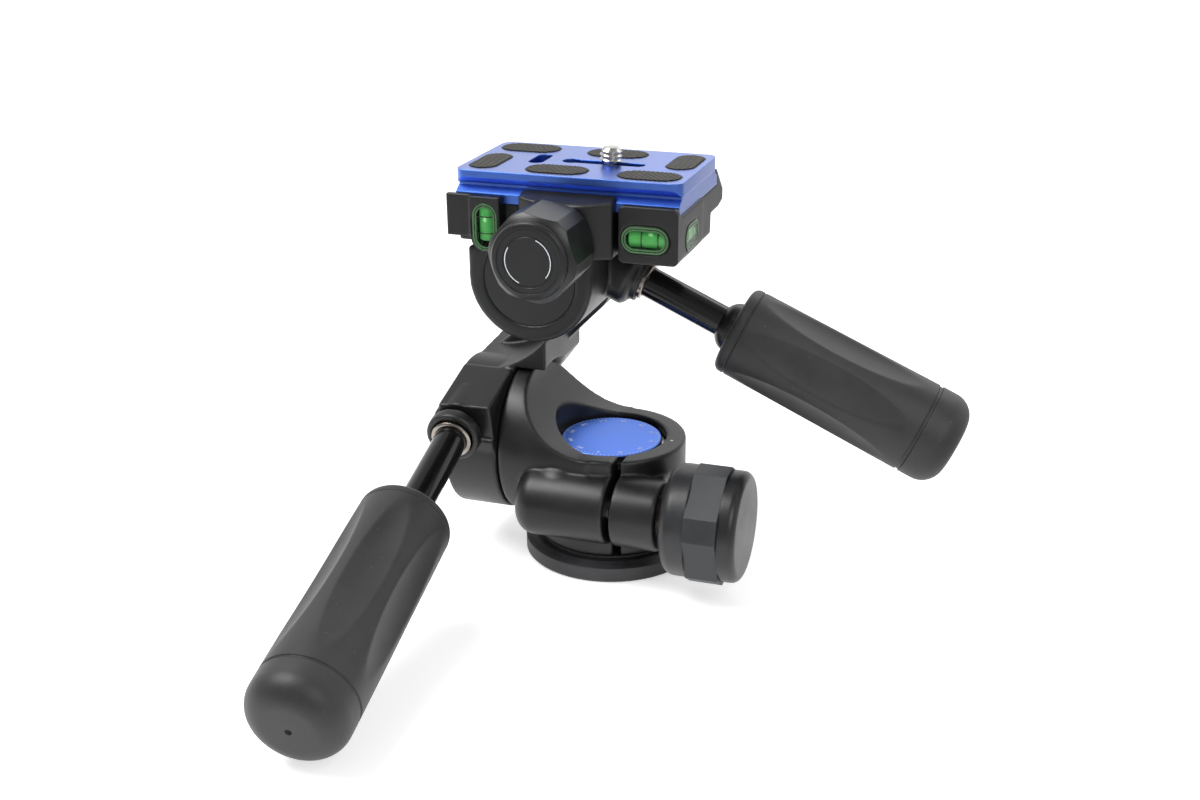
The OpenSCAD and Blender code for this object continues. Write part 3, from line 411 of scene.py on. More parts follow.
def lathe(profile: Sequence[tuple[Radius, float]], sides: int = 64) -> bmesh.types.BMesh:
    """Turns a closed profile of (radius, height) points round Z.

    Args:
        profile: Points in millimetres, going round the section. A radius may be a function of the angle.
        sides: Number of steps round the axis.

    Returns:
        The closed solid in metres.
    """
    bm = bmesh.new()
    rings: list[list[bmesh.types.BMVert]] = []
    for radius, height in profile:
        if not callable(radius) and radius <= 0:
            rings.append([bm.verts.new((0, 0, height * MM))])
            continue
        ring = []
        for k in range(sides):
            angle = 2 * math.pi * k / sides
            reach = (radius(angle) if callable(radius) else radius) * MM
            ring.append(bm.verts.new((reach * math.cos(angle), reach * math.sin(angle), height * MM)))
        rings.append(ring)
    for low, high in zip(rings, rings[1:] + rings[:1]):
        if len(low) == 1 and len(high) == 1:
            continue
        for k in range(sides):
            n = (k + 1) % sides
            if len(low) == 1:
                bm.faces.new((low[0], high[n], high[k]))
            elif len(high) == 1:
                bm.faces.new((low[k], low[n], high[0]))
            else:
                bm.faces.new((low[k], low[n], high[n], high[k]))
    return bm


def oblong_points(length: float, width: float, steps: int = 14) -> list[Pair]:
    """Points round an oblong along X, in millimetres."""
    radius = width / 2
    points = []
    for side, start in ((1, -90), (-1, 90)):
        for k in range(steps + 1):
            angle = math.radians(start + 180 * k / steps)
            points.append((side * (length - width) / 2 + radius * math.cos(angle), radius * math.sin(angle)))
    return points


def prism(outline: Sequence[Point], low: float, high: float) -> bmesh.types.BMesh:
    """Raises a flat outline from one height to another, in millimetres."""
    bm = bmesh.new()
    floor = [bm.verts.new((x * MM, y * MM, low * MM)) for x, y in outline]
    roof = [bm.verts.new((x * MM, y * MM, high * MM)) for x, y in outline]
    bm.faces.new(floor[::-1])
    bm.faces.new(roof)
    for k in range(len(outline)):
        n = (k + 1) % len(outline)
        bm.faces.new((floor[k], floor[n], roof[n], roof[k]))
    return bm


def loop_wall(outer: Sequence[Point], inner: Sequence[Point], low: float, high: float) -> bmesh.types.BMesh:
    """Raises the strip between two outlines of the same number of points, in millimetres."""
    bm = bmesh.new()
    rings = [[bm.verts.new((x * MM, y * MM, z * MM)) for x, y in outline]
             for outline, z in ((outer, low), (outer, high), (inner, high), (inner, low))]
    for first, second in zip(rings, rings[1:] + rings[:1]):
        for k in range(len(first)):
            n = (k + 1) % len(first)
            bm.faces.new((first[k], first[n], second[n], second[k]))
    return bm


def merge_into(target: bmesh.types.BMesh, other: bmesh.types.BMesh, place: Matrix) -> None:
    """Adds another bmesh to a target, moved by a matrix, and frees it."""
    mesh = bpy.data.meshes.new("passing")
    other.to_mesh(mesh)
    other.free()
    mesh.transform(place)
    target.from_mesh(mesh)
    bpy.data.meshes.remove(mesh)


def placed(bm: bmesh.types.BMesh, place: Matrix) -> bmesh.types.BMesh:
    """Hands back a bmesh moved by a matrix."""
    moved = bmesh.new()
    merge_into(moved, bm, place)
    return moved


def socket_screw(radius: float, height: float, key: float, depth: float, shank: float) -> bmesh.types.BMesh:
    """Makes a screw with a low head, a six-sided socket and a round shank.

    Args:
        radius: Radius of the head.
        height: Height of the head, whose underside lies at 0.
        key: Radius of the socket's corners.
        depth: Depth of the socket.
        shank: Length of the shank below the head.

    Returns:
        The screw, upright.
    """
    sixth = math.pi / 3

    def six(angle: float) -> float:
        """Radius of the six-sided socket at an angle."""
        near = (angle + sixth / 2) % sixth - sixth / 2
        return key * math.cos(sixth / 2) / math.cos(near)

    return lathe([(0.0, -shank), (2.0, -shank), (2.05, 0.0), (radius, 0.0), (radius, height - 0.7),
                  (radius - 0.2, height - 0.25), (radius - 0.75, height), (key + 0.45, height), (six, height - 0.15),
                  (six, height - depth), (0.0, height - depth - 0.35)], 48)


def at(x: float, y: float, z: float) -> Matrix:
    """A move in millimetres."""
    return Matrix.Translation(Vector((x, y, z)) * MM)


def turned(degrees: float, axis: str) -> Matrix:
    """A turn in degrees about one axis."""
    return Matrix.Rotation(math.radians(degrees), 4, axis)


TILT_BOSS = at(-38, -29.5, 41.3) @ turned(3.4, "Z") @ turned(104.2, "X")
SIDE_BOSS = at(8.7, 5, 82.5) @ turned(114.1, "Y")


# Trees of Geometry Nodes


class Tree:
    """A geometry tree with named inputs and short calls for its nodes."""

    def __init__(self, name: str, inputs: dict[str, tuple[str, float | int]], with_mesh: bool = False) -> None:
        """Starts the tree and its interface.

        Args:
            name: Name of the tree.
            inputs: Socket type and starting value of each named input.
            with_mesh: Whether the tree takes the mesh of its object.
        """
        self.group = bpy.data.node_groups.new(name, "GeometryNodeTree")
        face = self.group.interface
        self.ids: dict[str, str] = {}
        if with_mesh:
            face.new_socket("Geometry", in_out="INPUT", socket_type="NodeSocketGeometry")
        for label, (kind, value) in inputs.items():
            socket = face.new_socket(label, in_out="INPUT", socket_type=kind)
            if value is not None:
                socket.default_value = value
            self.ids[label] = socket.identifier
        face.new_socket("Geometry", in_out="OUTPUT", socket_type="NodeSocketGeometry")
        self.start = self.group.nodes.new("NodeGroupInput")
        self.end = self.group.nodes.new("NodeGroupOutput")

    def add(self, kind: str, links: dict[str | int, Socket] | None = None,
            values: dict[str | int, object] | None = None, **settings: object) -> bpy.types.Node:
        """Adds a node, sets it and links its inputs.

        Args:
            kind: Type of the node.
            links: Sockets that feed its inputs.
            values: Plain values of its inputs.
            settings: Properties of the node.

        Returns:
            The new node.
        """
        node = self.group.nodes.new(kind)
        for key, value in settings.items():
            setattr(node, key, value)
        for key, value in (values or {}).items():
            node.inputs[key].default_value = value
        for key, socket in (links or {}).items():
            self.group.links.new(socket, node.inputs[key])
        return node

    def close(self, geometry: Socket, material: Socket) -> None:
        """Ends the tree in Realize Instances and Set Material."""
        real = self.add("GeometryNodeRealizeInstances", {0: geometry})
        paint = self.add("GeometryNodeSetMaterial", {"Geometry": real.outputs[0], "Material": material})
        self.group.links.new(paint.outputs[0], self.end.inputs[0])

    def grow(self, name: str, values: dict[str, object], place: Matrix) -> bpy.types.Object:
        """Runs the tree on an empty mesh and keeps its result as a plain mesh.

        Args:
            name: Name of the piece.
            values: Values of the named inputs.
            place: Where the piece goes.

        Returns:
            The finished piece, with its place in its mesh.
        """
        seed = bpy.data.objects.new(name, bpy.data.meshes.new(name))
        bpy.context.scene.collection.objects.link(seed)
        modifier = seed.modifiers.new("grown", "NODES")
        modifier.node_group = self.group
        for label, value in values.items():
            modifier[self.ids[label]] = value
        bpy.context.view_layer.update()
        graph = bpy.context.evaluated_depsgraph_get()
        mesh = bpy.data.meshes.new_from_object(seed.evaluated_get(graph))
        seed.modifiers.remove(modifier)
        mesh.transform(place)
        mesh.name = name
        seed.data = mesh
        return seed


def tick_ring_tree() -> Tree:
    """Builds the tree of a ring of ticks, with a longer one at every few."""
    tree = Tree("tick_ring", {
        "Count": ("NodeSocketInt", 72), "Every": ("NodeSocketInt", 6), "Radius": ("NodeSocketFloat", 0.0135),
        "Short": ("NodeSocketFloat", 0.0008), "Long": ("NodeSocketFloat", 0.0016),
        "Width": ("NodeSocketFloat", 0.00016), "Height": ("NodeSocketFloat", 0.00004),
        "Material": ("NodeSocketMaterial", None)})
    start = tree.start.outputs
    circle = tree.add("GeometryNodeMeshCircle", {"Vertices": start["Count"], "Radius": start["Radius"]})
    order = tree.add("GeometryNodeInputIndex")
    rest = tree.add("ShaderNodeMath", {0: order.outputs[0], 1: start["Every"]}, operation="MODULO")
    major = tree.add("ShaderNodeMath", {0: rest.outputs[0]}, {1: 0.5}, operation="LESS_THAN")
    length = tree.add("GeometryNodeSwitch", {"Switch": major.outputs[0], "False": start["Short"],
                                             "True": start["Long"]}, input_type="FLOAT")
    size = tree.add("ShaderNodeCombineXYZ", {"X": length.outputs[0], "Y": start["Width"], "Z": start["Height"]})
    bar = tree.add("GeometryNodeMeshCube", values={"Size": (1, 1, 1)})
    shift = tree.add("GeometryNodeTransform", {"Geometry": bar.outputs[0]}, {"Translation": (-0.5, 0, 0)})
    where = tree.add("GeometryNodeInputPosition")
    aim = tree.add("FunctionNodeAlignEulerToVector", {"Vector": where.outputs[0]}, axis="X", pivot_axis="Z")
    many = tree.add("GeometryNodeInstanceOnPoints", {"Points": circle.outputs[0], "Instance": shift.outputs[0],
                                                     "Rotation": aim.outputs[0], "Scale": size.outputs[0]})
    tree.close(many.outputs[0], start["Material"])
    return tree


def thread_tree() -> Tree:
    """Builds the tree of a screw thread: a pointed ridge that climbs round an axis."""
    tree = Tree("screw_thread", {
        "Turns": ("NodeSocketFloat", 5.0), "Radius": ("NodeSocketFloat", 0.0026), "Rise": ("NodeSocketFloat", 0.006),
        "Ridge": ("NodeSocketFloat", 0.0005), "Steps": ("NodeSocketInt", 40),
        "Material": ("NodeSocketMaterial", None)})
    start = tree.start.outputs
    spiral = tree.add("GeometryNodeCurveSpiral", {
        "Resolution": start["Steps"], "Rotations": start["Turns"], "Start Radius": start["Radius"],
        "End Radius": start["Radius"], "Height": start["Rise"]})
    level = tree.add("GeometryNodeSetCurveNormal", {"Curve": spiral.outputs[0]}, mode="Z_UP")
    ridge = tree.add("GeometryNodeCurvePrimitiveCircle", {"Radius": start["Ridge"]}, {"Resolution": 4}, mode="RADIUS")
    body = tree.add("GeometryNodeCurveToMesh", {"Curve": level.outputs[0], "Profile Curve": ridge.outputs[0]},
                    {"Fill Caps": True})
    flat = tree.add("GeometryNodeSetShadeSmooth", {"Geometry": body.outputs[0]}, {"Shade Smooth": False})
    tree.close(flat.outputs[0], start["Material"])
    return tree


def round_shading_tree() -> Tree:
    """Builds the tree that shades a solid's curved faces as round and keeps its edges."""
    tree = Tree("round_shading", {"Angle": ("NodeSocketFloat", 0.5)}, with_mesh=True)
    start = tree.start.outputs
    whole = tree.add("GeometryNodeMergeByDistance", {"Geometry": start["Geometry"]}, {"Distance": WELD})
    smooth = tree.add("GeometryNodeSetShadeSmooth", {"Geometry": whole.outputs[0]}, {"Shade Smooth": True},
                      domain="FACE")
    angle = tree.add("GeometryNodeInputMeshEdgeAngle")
    sharp = tree.add("FunctionNodeCompare", {0: angle.outputs[0], 1: start["Angle"]}, data_type="FLOAT",
                     operation="GREATER_THAN")
    edges = tree.add("GeometryNodeSetShadeSmooth", {"Geometry": smooth.outputs[0], "Selection": sharp.outputs[0]},
                     {"Shade Smooth": False}, domain="EDGE")
    tree.group.links.new(edges.outputs[0], tree.end.inputs[0])
    return tree


TICKS = tick_ring_tree()
THREAD = thread_tree()
ROUND = round_shading_tree()


# Sub-assemblies


@dataclass
class SubAssembly:
    """Pieces that move together with one body.

    Args:
        body: Name of the body that the pieces ride.
    """

    body: str
    round_below: ClassVar[float] = 28.0

    def dress(self, finish: Finish, *names: str) -> None:
        """Gives solids their finish and round shading."""
        for name in names:
            node = FRAME["nodes"][name]
            self.coat(node, finish)
            shade = node.modifiers.new("round_shading", "NODES")
            shade.node_group = ROUND.group
            shade[ROUND.ids["Angle"]] = math.radians(self.round_below)
            LOG.info("%s: %s on the solid", name, finish.name)

    def coat(self, piece: bpy.types.Object, finish: Finish) -> None:
        """Puts one finish on all of a piece."""
        piece.data.materials.clear()
        piece.data.materials.append(finish.material())

    def add(self, piece: bpy.types.Object, finish: Finish, slot: Slot, *stands_for: str) -> bpy.types.Object:
        """Finishes a new piece and makes it ride its body.

        Args:
            piece: The new piece.
            finish: Its finish.
            slot: The record's slot that it belongs to; not used.
            stands_for: Solids that it replaces.

        Returns:
            The same piece.
        """
        self.coat(piece, finish)
        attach(piece, self.body)
        if stands_for:
            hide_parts(*stands_for)
        LOG.info("%s: %s, rides on %s", piece.name, finish.name, self.body)
        return piece

    def cast(self, name: str, finish: Finish, slot: Slot, cell: float = 0.42, rounds: int = 9,
             cutter: bpy.types.Object | None = None) -> bpy.types.Object:
        """Copies a solid and rounds its edges and inner corners as casting does.

        Args:
            name: The solid.
            finish: Finish of the copy.
            slot: Its material slot.
            cell: Cell of the fine mesh, in millimetres.
            rounds: How often the mesh is smoothed.
            cutter: A closed piece that is cut out of the copy first. It is removed.

        Returns:
            The rounded copy, which stands for the solid.
        """
        bm = bmesh.new()
        bm.from_mesh(FRAME["nodes"][name].data)
        bmesh.ops.remove_doubles(bm, verts=bm.verts, dist=WELD)
        mesh = bpy.data.meshes.new(name + "_cast")
        bm.to_mesh(mesh)
        bm.free()
        copy = bpy.data.objects.new(name + "_cast", mesh)
        bpy.context.scene.collection.objects.link(copy)
        if cutter:
            cut = copy.modifiers.new("cut", "BOOLEAN")
            cut.operation = "DIFFERENCE"
            cut.solver = "EXACT"
            cut.object = cutter
        fine = copy.modifiers.new("fine", "REMESH")
        fine.mode = "VOXEL"
        fine.voxel_size = cell * MM
        fine.use_smooth_shade = True
        soft = copy.modifiers.new("soft", "SMOOTH")
        soft.factor = 0.5
        soft.iterations = rounds
        bpy.context.view_layer.update()
        graph = bpy.context.evaluated_depsgraph_get()
        copy.data = bpy.data.meshes.new_from_object(copy.evaluated_get(graph))
        copy.modifiers.clear()
        if cutter:
            bpy.data.objects.remove(cutter)
        return self.add(copy, finish, slot, name)

    def build(self) -> None:
        """Makes and dresses the pieces."""
        raise NotImplementedError


@dataclass
class PanBase(SubAssembly):
    """Base disc, column and dial.

    Args:
        dial_top: Height of the dial.
        tick_r: Radius of the ring of ticks.
        tick_count: Number of ticks.
        long_every: Ticks from one long tick to the next.
        tick_size: Length of a short and of a long tick, their width and their height.
        number_r: Radius of the ring of numbers.
        number_count: How many numbers there are.
        number_size: Height of the numbers' type.
        thread_r: Crest radius of the tripod thread.
        thread_turns: Turns of the thread.
        thread_rise: Length of the thread.
        ridge: Height of the thread's ridge.
    """

    body: str = "base"
    dial_top: float = 35.0
    tick_r: float = 14.3
    tick_count: int = 72
    long_every: int = 6
    tick_size: tuple[float, float, float, float] = (0.6, 1.0, 0.15, 0.04)
    number_r: float = 12.3
    number_count: int = 12
    number_size: float = 1.5
    thread_r: float = 4.1
    thread_turns: float = 6.6
    thread_rise: float = 10.2
    ridge: float = 0.62

    def build(self) -> None:
        """Makes and dresses the pieces."""
        self.dress(BASE_GREY, "base_disc")
        self.dress(STEEL, "pan_column", "column_cap", "column_screw")
        self.dress(BLUE_DIAL, "pan_dial")
        self.dress(WASHER, "pan_washer")
        self.tripod_thread()
        self.marks()

    def tripod_thread(self) -> None:
        """Makes the insert with its inner thread."""
        wall = lathe([(4.75, 0.3), (5.05, 0), (6.6, 0), (6.6, 13), (0, 13), (0, 11), (4.75, 11)])
        self.add(link_mesh("tripod_insert", wall), BRIGHT, Slot.BRIGHT, "thread_insert")
        ridge = THREAD.grow("tripod_thread", {
            "Turns": self.thread_turns, "Radius": (self.thread_r + self.ridge) * MM, "Rise": self.thread_rise * MM,
            "Ridge": self.ridge * MM, "Steps": 48, "Material": BRIGHT.material()}, at(0, 0, 0.6))
        self.add(ridge, BRIGHT, Slot.BRIGHT)

    def marks(self) -> None:
        """Prints the ticks and the plain numbers on the dial."""
        short, long, width, height = self.tick_size
        ticks = TICKS.grow("dial_ticks", {
            "Count": self.tick_count, "Every": self.long_every, "Radius": self.tick_r * MM, "Short": short * MM,
            "Long": long * MM, "Width": width * MM, "Height": height * MM, "Material": DIAL_PRINT.material()},
            at(0, 0, self.dial_top + 0.01))
        self.add(ticks, DIAL_PRINT, Slot.BRIGHT)
        self.add(self.numbers(), DIAL_PRINT, Slot.BRIGHT)

    def numbers(self) -> bpy.types.Object:
        """Makes the numbers of the dial as one mesh."""
        bm = bmesh.new()
        step = 360 // self.number_count
        for k in range(self.number_count):
            font = bpy.data.curves.new("number", "FONT")
            font.body = str(k * step)
            font.size = self.number_size * MM
            font.align_x = "CENTER"
            font.align_y = "CENTER"
            font.extrude = 0.012 * MM
            text = bpy.data.objects.new("number", font)
            bpy.context.scene.collection.objects.link(text)
            bpy.context.view_layer.update()
            mesh = bpy.data.meshes.new_from_object(text.evaluated_get(bpy.context.evaluated_depsgraph_get()))
            angle = -90 + k * step
            x, y = self.number_r * math.cos(math.radians(angle)), self.number_r * math.sin(math.radians(angle))
            mesh.transform(at(x, y, self.dial_top + 0.02) @ turned(angle + 90, "Z"))
            bm.from_mesh(mesh)
            bpy.data.meshes.remove(mesh)
            bpy.data.objects.remove(text)
            bpy.data.curves.remove(font)
        return link_mesh("dial_numbers", bm)


@dataclass
class PanHousing(SubAssembly):
    """The casting that turns on the base, with the fixed half of the tilt joint.

    Args:
        dot: Where the index dot lies, beside the dial.
    """

    body: str = "pan"
    dot: tuple[float, float, float] = (18.5, 0.0, 36.0)

    def build(self) -> None:
        """Makes and dresses the pieces."""
        self.cast("pan_housing", CAST_BLACK, Slot.CAST)
        self.dress(STEEL, "tilt_shaft")
        self.dress(WASHER, "tilt_washer")
        dot = placed(lathe([(0, 0), (0.45, 0), (0.42, 0.03), (0, 0.03)], 20), at(*self.dot))
        self.add(link_mesh("index_dot", dot), WHITE_PRINT, Slot.BRIGHT)


@dataclass
class PanKnob(SubAssembly):
    """The knob that closes the pan clamp."""

    body: str = "pan_knob"

    def build(self) -> None:
        """Makes and dresses the pieces."""
        self.dress(STEEL, "pinch_screw")
        self.dress(BRIGHT, "pinch_bush")
        self.dress(NECK_GREY, "pan_knob_core")
        self.dress(KNOB_SATIN, "pan_knob_cap")
        self.dress(BAND_RUBBER, "pan_knob_band")


@dataclass
class Elbow(SubAssembly):
    """The casting between the tilt joint and the side joint.

    Args:
        slit_size: Size of the slit that lets the clamp barrel close.
        slit_at: Middle of the slit, seen from the tilt handle's boss.
        screw_at: Where the underside of the rear screw's head goes.
    """

    body: str = "tilt"
    slit_size: tuple[float, float, float] = (40.0, 24.5, 2.2)
    slit_at: tuple[float, float, float] = (0.0, 8.75, -4.7)
    screw_at: tuple[float, float, float] = (-17.2, 24.2, 87.2)

    def build(self) -> None:
        """Makes and dresses the pieces."""
        slit = bmesh.new()
        bmesh.ops.create_cube(slit, size=1.0)
        bmesh.ops.scale(slit, verts=slit.verts, vec=[side * MM for side in self.slit_size])
        cutter = link_mesh("slit", placed(slit, TILT_BOSS @ at(*self.slit_at)))
        self.cast("elbow", CAST_BLACK, Slot.CAST, cell=0.38, rounds=6, cutter=cutter)
        self.dress(KNOB_SATIN, "elbow_plug")
        self.dress(STEEL, "tilt_retainer", "roll_shaft")
        screw = placed(socket_screw(4.6, 2.4, 2.0, 1.6, 11.0), at(*self.screw_at) @ turned(-90, "X"))
        self.add(link_mesh("rear_screw", screw, 30), STEEL, Slot.STEEL, "head_screw")


class HandleKind(Enum):
    """The two long handles."""

    TILT = "tilt_handle"
    SIDE = "side_handle"


@dataclass
class Handle(SubAssembly):
    """A lock handle: stud, collar, rod, hub, grip and end cap, drawn with +Z out of its boss.

    Args:
        kind: Which of the two handles it is.
        boss: Where the rod comes out.
        rod_r: Radius of the rod.
        rod_l: Length of the rod, up to the grip.
        grip_l: Length of the grip.
        front_r: Radius of the grip at its front.
        rear_r: Radius of the grip at its rear.
        collar_r: Radius of the collar.
        hub_r: Radius of the hub.
        flutes: Number of flutes round the grip.
        flute_turn: Turn of the first flute, in degrees.
        flute_r: Radius of a flute across the grip.
        flute_depth: Depth of a flute in its middle.
        flute_share: Length of a flute, as a share of the grip.
        flute_soft: How softly a flute runs out into the round.
        rim: Radius of the grip's rounded front rim.
        rows: Number of rings along the flutes.
    """

    body: str = "tilt_handle"
    kind: HandleKind = HandleKind.TILT
    boss: Matrix = field(default_factory=lambda: TILT_BOSS)
    rod_r: float = 4.64
    rod_l: float = 36.5
    grip_l: float = 65.5
    front_r: float = 12.8
    rear_r: float = 13.2
    collar_r: float = 5.85
    hub_r: float = 7.2
    flutes: int = 6
    flute_turn: float = 12.0
    flute_r: float = 20.0
    flute_depth: float = 1.7
    flute_share: float = 0.81
    flute_soft: float = 0.09
    rim: float = 2.2
    rows: int = 84

    def build(self) -> None:
        """Makes and dresses the pieces."""
        stem = self.kind.value
        self.dress(STEEL, stem + "_stud")
        self.dress(GRIP_RUBBER, stem + "_cap")
        self.turn("rod", self.rod(), GLOSS_BLACK, Slot.GLOSS)
        self.turn("collar", self.collar(), BRIGHT, Slot.BRIGHT)
        self.turn("hub", self.hub(), KNOB_SATIN, Slot.KNOB)
        self.turn("grip", self.grip(), GRIP_RUBBER, Slot.RUBBER)

    def turn(self, part: str, bm: bmesh.types.BMesh, finish: Finish, slot: Slot) -> None:
        """Places a turned piece on the boss, in the stead of its solid."""
        name = f"{self.kind.value}_{part}"
        self.add(link_mesh(name + "_turned", placed(bm, self.boss), 40), finish, slot, name)

    @property
    def bore(self) -> float:
        """Radius of the bore that fits the rod."""
        return self.rod_r + FIT

    def rod(self) -> bmesh.types.BMesh:
        """Makes the round rod."""
        return lathe([(0, -1), (self.rod_r, -1), (self.rod_r, self.rod_l + 11), (0, self.rod_l + 11)], 72)

    def collar(self) -> bmesh.types.BMesh:
        """Makes the collar with its two chamfers."""
        bore, r = self.bore, self.collar_r
        return lathe([(bore, -1), (r, -1), (r, 0.75), (r - 0.35, 1.1), (bore + 0.3, 1.2), (bore, 1.1)], 72)

    def hub(self) -> bmesh.types.BMesh:
        """Makes the round-nosed hub that holds the grip."""
        start = math.asin(self.bore / self.hub_r)
        nose = []
        for k in range(13):
            turn = start + (math.pi / 2 - start) * k / 12
            nose.append((self.hub_r * math.sin(turn), self.rod_l - 5 * math.cos(turn)))
        return lathe([*nose, (self.hub_r, self.rod_l + 2.5), (self.bore, self.rod_l + 2.5)], 72)

    def taper(self, z: float) -> float:
        """Radius of the plain grip at a height above its front."""
        return self.front_r + (self.rear_r - self.front_r) * z / self.grip_l

    def surface(self, z: float, rest: float) -> Callable[[float], float]:
        """Radius of the grip round its axis at one height, with the flutes cut in.

        Args:
            z: Height above the grip's front.
            rest: Radius that the rim or the groove leaves there.

        Returns:
            The radius as a function of the angle.
        """
        plain = self.taper(z)
        reach = self.flute_share * self.grip_l / 2
        depth = self.flute_depth * (1 - ((z - self.grip_l / 2) / reach) ** 2)
        middle = plain - depth + self.flute_r
        share = 2 * math.pi / self.flutes

        def radius(angle: float) -> float:
            """Radius at one angle, the lesser of the round and the flute."""
            off = (angle - math.radians(self.flute_turn) + share / 2) % share - share / 2
            side = middle * math.sin(off)
            cut = middle * math.cos(off) - math.sqrt(max(0.0, self.flute_r ** 2 - side ** 2))
            over = (plain - cut) / self.flute_soft
            return rest - self.flute_soft * (math.log1p(math.exp(over)) if over < 30 else over)

        return radius

    def grip(self) -> bmesh.types.BMesh:
        """Makes the soft grip: round front rim, fine groove, long flutes and the step before the cap."""
        length, rim, low = self.grip_l, self.rim, self.rod_l
        rows: list[Pair] = []
        for k in range(9):
            turn = math.pi / 2 * k / 8
            rows.append((rim - rim * math.cos(turn), rim * (1 - math.sin(turn))))
        rows += [(3.1, 0.0), (3.25, 0.28), (3.5, 0.28), (3.65, 0.0)]
        rows += [(4.0 + (length - 5.2) * k / self.rows, 0.0) for k in range(self.rows + 1)]
        rows += [(length - 1.0, 0.35), (length, 0.35)]
        skin = [(self.surface(z, self.taper(z) - less), low + z) for z, less in rows]
        seat = self.hub_r + FIT
        inside = [(0, low + length), (0, low + 12), (self.bore, low + 12), (self.bore, low + 3.5), (seat, low + 3.5),
                  (seat, low)]
        return lathe([*skin, *inside], 252)


@dataclass
class Level:
    """One spirit level.

    Args:
        name: Stem of its solids' names.
        site: Middle of its window.
        turn: 90 stands it up.
        face: 90 turns it to the right side.
        length: Length of its window.
        vial_at: Middle of the vial along the window.
        vial_l: Length of the vial.
        line_at: Middle between the two dark lines.
        bubble_at: Place of the bubble along the window.
        width: Width of its window.
        depth: Depth of its cup.
        vial_r: Radius of the vial.
        axis_z: Depth of the vial's axis, below the face.
        gap: Distance of each line from their middle.
        line_w: Width of a line.
        rim_steps: For each rim, how much smaller than the window it is, and its thickness.
        lean: Degrees by which the bubble of a lying vial climbs towards its upper side.
        bubble_size: Half the bubble's length, width and height.
    """

    name: str
    site: tuple[float, float, float]
    turn: float
    face: float
    length: float = 13.4
    vial_at: float = 0.4
    vial_l: float = 8.8
    line_at: float = 1.2
    bubble_at: float = 1.4
    width: float = 7.6
    depth: float = 5.15
    vial_r: float = 2.1
    axis_z: float = -2.45
    gap: float = 2.3
    line_w: float = 0.2
    rim_steps: tuple[Pair, ...] = ((0.5, 0.42), (1.9, 0.36))
    lean: float = 38.0
    bubble_size: tuple[float, float, float] = (0.9, 0.55, 0.4)

    def place(self) -> Matrix:
        """Turns the level's own frame, with +Z out of its window, into the head's frame."""
        return at(*self.site) @ turned(self.face, "Z") @ turned(90, "X") @ turned(self.turn, "Z")

    def on_axis(self, along: float) -> Matrix:
        """A place on the vial's axis, in the head's frame."""
        return self.place() @ at(along, 0, self.axis_z)

    def outline(self, less: float) -> list[Pair]:
        """Outline of the window, made smaller by a length and a width."""
        return oblong_points(self.length - less, self.width - less)

    def lines(self) -> bmesh.types.BMesh:
        """Makes the two dark rings round the vial, with the bars that carry them on to the cup."""
        bm = bmesh.new()
        low, high, half = self.vial_r - 0.1, self.vial_r + 0.03, self.width / 2 - 1.1
        top = self.axis_z + self.vial_r
        for side in (-1, 1):
            along = self.line_at + side * self.gap
            band = lathe([(low, -0.14), (high, -0.14), (high, 0.14), (low, 0.14)], 40)
            merge_into(bm, band, self.on_axis(along) @ turned(90, "Y"))
            left, right = along - self.line_w / 2, along + self.line_w / 2
            bar = prism([(left, -half), (right, -half), (right, half), (left, half)], top, top + 0.08)
            merge_into(bm, bar, self.place())
        return bm

    def cup(self) -> bmesh.types.BMesh:
        """Makes the deep cup that the vial lies in."""
        bm = bmesh.new()
        merge_into(bm, loop_wall(self.outline(0), self.outline(2.1), -self.depth, 0.03), self.place())
        merge_into(bm, prism(self.outline(0.3), -self.depth, -self.depth + 0.6), self.place())
        return bm

    def rims(self) -> bmesh.types.BMesh:
        """Makes the two thin rims of the cup, one inside the other, whose pale green is a painted highlight along the
        edges of the clear frame.
        """
        bm = bmesh.new()
        for less, thick in self.rim_steps:
            merge_into(bm, loop_wall(self.outline(less), self.outline(less + 2 * thick), -0.3, 0.16), self.place())
        return bm

    def vial(self) -> bmesh.types.BMesh:
        """Makes the vial with its two round ends."""
        half, soft = self.vial_l / 2, 0.5
        flat, step = self.vial_r - soft, math.pi / 8
        profile: list[Pair] = [(0, -half), (flat, -half)]
        profile += [(flat + soft * math.sin(k * step), -half + soft - soft * math.cos(k * step)) for k in range(1, 5)]
        profile += [(flat + soft * math.cos(k * step), half - soft + soft * math.sin(k * step)) for k in range(5)]
        profile.append((0, half))
        return placed(lathe(profile, 48), self.on_axis(self.vial_at) @ turned(90, "Y"))

    def bubble(self) -> bmesh.types.BMesh:
        """Makes the bubble under the upper side of the vial."""
        ball = bmesh.new()
        bmesh.ops.create_uvsphere(ball, u_segments=24, v_segments=14, radius=1.0)
        squeeze = Matrix.Diagonal((*[half * MM for half in self.bubble_size], 1))
        up = 0.0 if self.turn else self.lean
        return placed(ball, self.on_axis(self.bubble_at) @ turned(-up, "X") @ at(0, 0, self.vial_r - 0.25) @ squeeze)

    def window(self) -> bmesh.types.BMesh:
        """Makes the clear window over the vial."""
        return placed(prism(self.outline(2.7), -0.12, 0.05), self.place())


